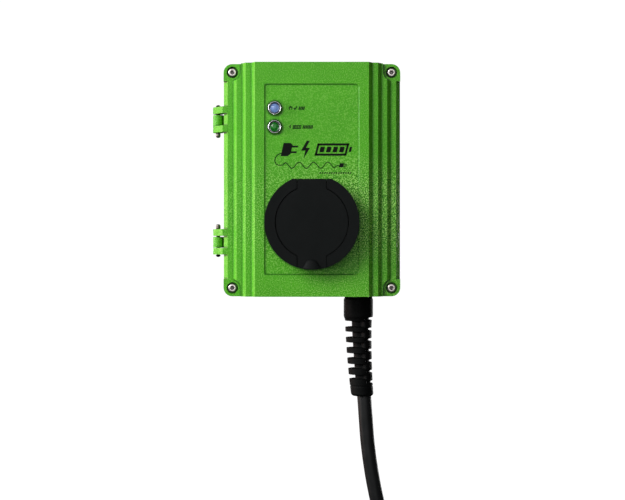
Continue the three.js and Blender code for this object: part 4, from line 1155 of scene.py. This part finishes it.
def feeders():
    """Four cores from the terminal block through the current sensor to the contactor."""
    sensor = Place("current_sensor")
    high = TERMINALS.high.z
    for i, (core, x, end_x) in enumerate(zip(CORE_COLOURS, POLES, CONTACTOR_POLES)):
        angle = TURN * (i / 4 + 0.125)
        inside_x = sensor.centre.x - 3.4 * math.cos(angle)
        inside_y = -34 + 3.4 * math.sin(angle)
        wire(f"feeder_{core}", [
            (x, TERMINAL_Y, high - 3), (x, TERMINAL_Y, high + 2), (inside_x, inside_y, -41),
            (inside_x, inside_y, -33), (inside_x, inside_y, -24),
            (inside_x - 4, inside_y - 1, -13), (end_x + 8, inside_y - 2, -2 + 2 * i),
            (end_x, CONTACTOR_Y - 3, 8), (end_x, CONTACTOR_Y, 16),
            (end_x, CONTACTOR_Y, CONTACTOR.low.z + 3)],
            INLET_RADIUS, core)


def loom():
    """Cores from the devices, in a loop around the hinge, to the contacts on the lid."""
    bus = CONTACTOR_Y
    high = CONTACTOR.high.z
    for i, (core, (z, contact)) in enumerate(LOOM.items()):
        colour = core.removeprefix("core_")
        if core == "core_earth":
            begin = [(-66, -24.5, -58), (-67, -30, -50), (-70, -34, -34)]
        else:
            x = CONTACTOR_POLES[i]
            begin = [(x, bus, high - 3), (x, bus, high + 3), (x - 6, bus + 3, high + 8),
                     (-30, -50 + 1.2 * i, high + 9), (-66, -48 + 1.2 * i, high + 2),
                     (-79 + 0.4 * i, -40, 80), (-79, -38, 50), (-78, -38, 22)]
        end = [(LOOM_X, -38, z + 2), (LOOM_X, -40, z)]
        wire(f"housing_loom_{colour}", begin + end, LOOM_RADIUS, core)

        bulge = [(0, -39), (0, -41), (-3, -50), (-4, -60), (-2, -68), (1, -73), (5, -75.6),
                 (7, LID_Y)]
        path = [(LOOM_X + right, y, z) for right, y in bulge]
        loop = new_piece(f"hinge_loop_{colour}", strand(path, LOOM_RADIUS, 10), MATERIALS[core])
        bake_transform(loop)

        sleeve = Place(contact)
        back = sleeve.high.y
        x, up = sleeve.centre.x, sleeve.centre.z
        wire(f"socket_wire_{colour}", [
            (LOOM_X + 6, LID_Y, z), (LOOM_X + 10, LID_Y, z), (-58, -72, z - 4),
            (-48, -58, (z + up) / 2 - 2), (x - 10, back + 9, z * 0.3 + up * 0.7),
            (x - 3, back + 8, up), (x, back + 4, up), (x, back - 2, up)],
            LOOM_RADIUS, core, "lid")
    for body, low, high in [("lid", (-70.5, -80.4), (-66, -72.5)),
                            ("housing", (-80.5, -42), (-73.5, -36))]:
        add(f"loom_clip_{body}", block((*low, -15), (*high, 10.6)), "matt_black", body, (0.8,))


def lid_leads():
    """Thin leads from the loom to the lamps and to the lock."""
    for kind, shift in [("ready", 2), ("charging", -2)]:
        bezel = Place(f"{kind}_lamp_bezel")
        z = bezel.centre.z
        back = bezel.high.y
        for k, (core, side) in enumerate([("core_blue", -1.6), ("core_black", 1.6)]):
            x = bezel.centre.x + side
            wire(f"{kind}_lamp_lead_{k + 1}", [
                (x, back - 1.5, z), (x, back + 4, z), (x - 8, back + 7, z - 6),
                (-60, -76, z - 24 + k * 2), (-66, -75.5, 22 + shift + k * 2),
                (-67.8, LID_Y, 9 + shift * 0.4 + k * 0.4)],
                LEAD_RADIUS, core, "lid")
    actuator = Place("lock_actuator")
    for k, core in enumerate(["core_grey", "core_brown"]):
        x = actuator.low.x
        z = actuator.high.z - 6 - 2.4 * k
        wire(f"lock_lead_{k + 1}", [
            (x + 1, -77, z), (x - 4, -77, z), (-30, -78.5, 2 + 2 * k), (-52, -77, 6 + k * 2),
            (-68, LID_Y, 5 + k * 2)],
            LEAD_RADIUS, core, "lid")


# ---- stage, lights, camera

STAGE_START = -3000
STAGE_DEPTH = 3200
STAGE_HALF_WIDTH = 4000
STAGE_RISE = 2600
STAGE_BEND = 800
STAGE_DROP = 30            # from the object's lowest point to the floor


def add_stage():
    """Plain pale floor that curves up into a backdrop."""
    floor = CAD_BOX[0].z / MM - STAGE_DROP
    bend = arc(STAGE_DEPTH - STAGE_BEND, floor + STAGE_BEND, STAGE_BEND, -0.25, 0, 16)
    profile = [(STAGE_START, floor), *bend, (STAGE_DEPTH, STAGE_RISE)]
    points = []
    for y, z in profile:
        points += [(-STAGE_HALF_WIDTH, y, z), (STAGE_HALF_WIDTH, y, z)]
    faces = [(2 * i, 2 * i + 1, 2 * i + 3, 2 * i + 2) for i in range(len(profile) - 1)]
    new_piece("stage", (points, faces), MATERIALS["stage"])


LIGHTS = [                 # name; azimuth to the left, height, distance; width, length; watts
    ("key", (38, 0.9, 2.2), (1.0, 1.0), 35),
    ("side", (80, 0.35, 1.9), (0.6, 1.2), 35),
    ("front", (6, 0.5, 2.4), (2.2, 2.0), 18),
    ("rim", (109, 0.1, 2.2), (0.6, 1.2), 17),
    ("behind_right", (-150, -0.13, 2.2), (1.2, 0.5), 18),
    ("behind_left", (155, -0.13, 2.2), (1.2, 0.5), 8),
]
RIM_TINT = (1.0, 0.6, 0.5)
BOX_CENTRE = Vector((0.0, -0.1, 0.0))


def add_lights():
    """Soft lights that face the box."""
    for name, (azimuth, height, distance), size, power in LIGHTS:
        data = bpy.data.lights.new(name, "AREA")
        data.shape = "RECTANGLE"
        data.size, data.size_y = size
        data.energy = power
        if name == "rim":
            data.color = RIM_TINT
        turn = math.radians(azimuth)
        place = Vector((-distance * math.sin(turn), BOX_CENTRE.y - distance * math.cos(turn),
                        height))
        light = bpy.data.objects.new(name, data)
        light.location = place
        light.rotation_mode = "QUATERNION"
        light.rotation_quaternion = (BOX_CENTRE - place).to_track_quat("-Z", "Y")
        SCENE.collection.objects.link(light)


ROOM_GLOSS = [(0.0, 0.06), (0.4, 0.26), (0.86, 0.2), (0.93, 0.03)]  # towards the camera's side
ROOM_FILL = 0.02


def add_world():
    """White to the camera. Metal mirrors a pale room, dark right behind the camera."""
    world = bpy.data.worlds.new("studio")
    world.use_nodes = True
    tree = Nodes(world.node_tree)
    direction = tree.node("TexCoord", "Generated")
    ahead = tree.node("VectorMath", "Value", direction, (0.0, -1.0, 0.0),
                      settings=[("operation", "DOT_PRODUCT")])
    room = tree.nodes.new("ShaderNodeValToRGB")
    tree.feed(room.inputs["Fac"], ahead)
    while len(room.color_ramp.elements) < len(ROOM_GLOSS):
        room.color_ramp.elements.new(0.5)
    for element, (position, value) in zip(room.color_ramp.elements, ROOM_GLOSS):
        element.position = position
        element.color = (value, value, value, 1)
    glossy = tree.node("LightPath", "Is Glossy Ray")
    seen = tree.node("LightPath", "Is Camera Ray")
    strength = tree.node("Mix", "Result", Factor=glossy, A=ROOM_FILL, B=room.outputs["Color"])
    strength = tree.node("Mix", "Result", Factor=seen, A=strength, B=1.0)
    background = tree.nodes["Background"]
    background.inputs["Color"].default_value = (1, 1, 1, 1)
    tree.feed(background.inputs["Strength"], strength)
    SCENE.world = world
    SCENE.view_settings.view_transform = "Standard"


CAMERA_DISTANCE = 1.35     # from the face of the lid screws
CAMERA_X = 0.0006
CAMERA_Z = -0.0711
LENS = 76.4
SENSOR = 36


def add_camera():
    """Straight on, a little below the middle of the box."""
    data = bpy.data.cameras.new("camera")
    data.sensor_width = SENSOR
    data.lens = LENS
    camera = bpy.data.objects.new("camera", data)
    camera.location = (CAMERA_X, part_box("lid_screw_1")[0].y - CAMERA_DISTANCE, CAMERA_Z)
    camera.rotation_euler = (math.pi / 2, 0, 0)
    SCENE.collection.objects.link(camera)
    SCENE.camera = camera


# ---- build

SCREW_TURNS = (0.02, 0.11, 0.05, 0.14)

dress_frame()
socket_outlet()
lamp("ready", "blue_lens")
lamp("charging", "green_lens")
for index, screw_turn in enumerate(SCREW_TURNS):
    lid_screw(index + 1, screw_turn)
hinge_pin("upper")
hinge_pin("lower")
boot()
cable_and_cores()
pictograms()
circuit_board()
device_details()
wiring()
add_stage()
add_lights()
add_world()
add_camera()
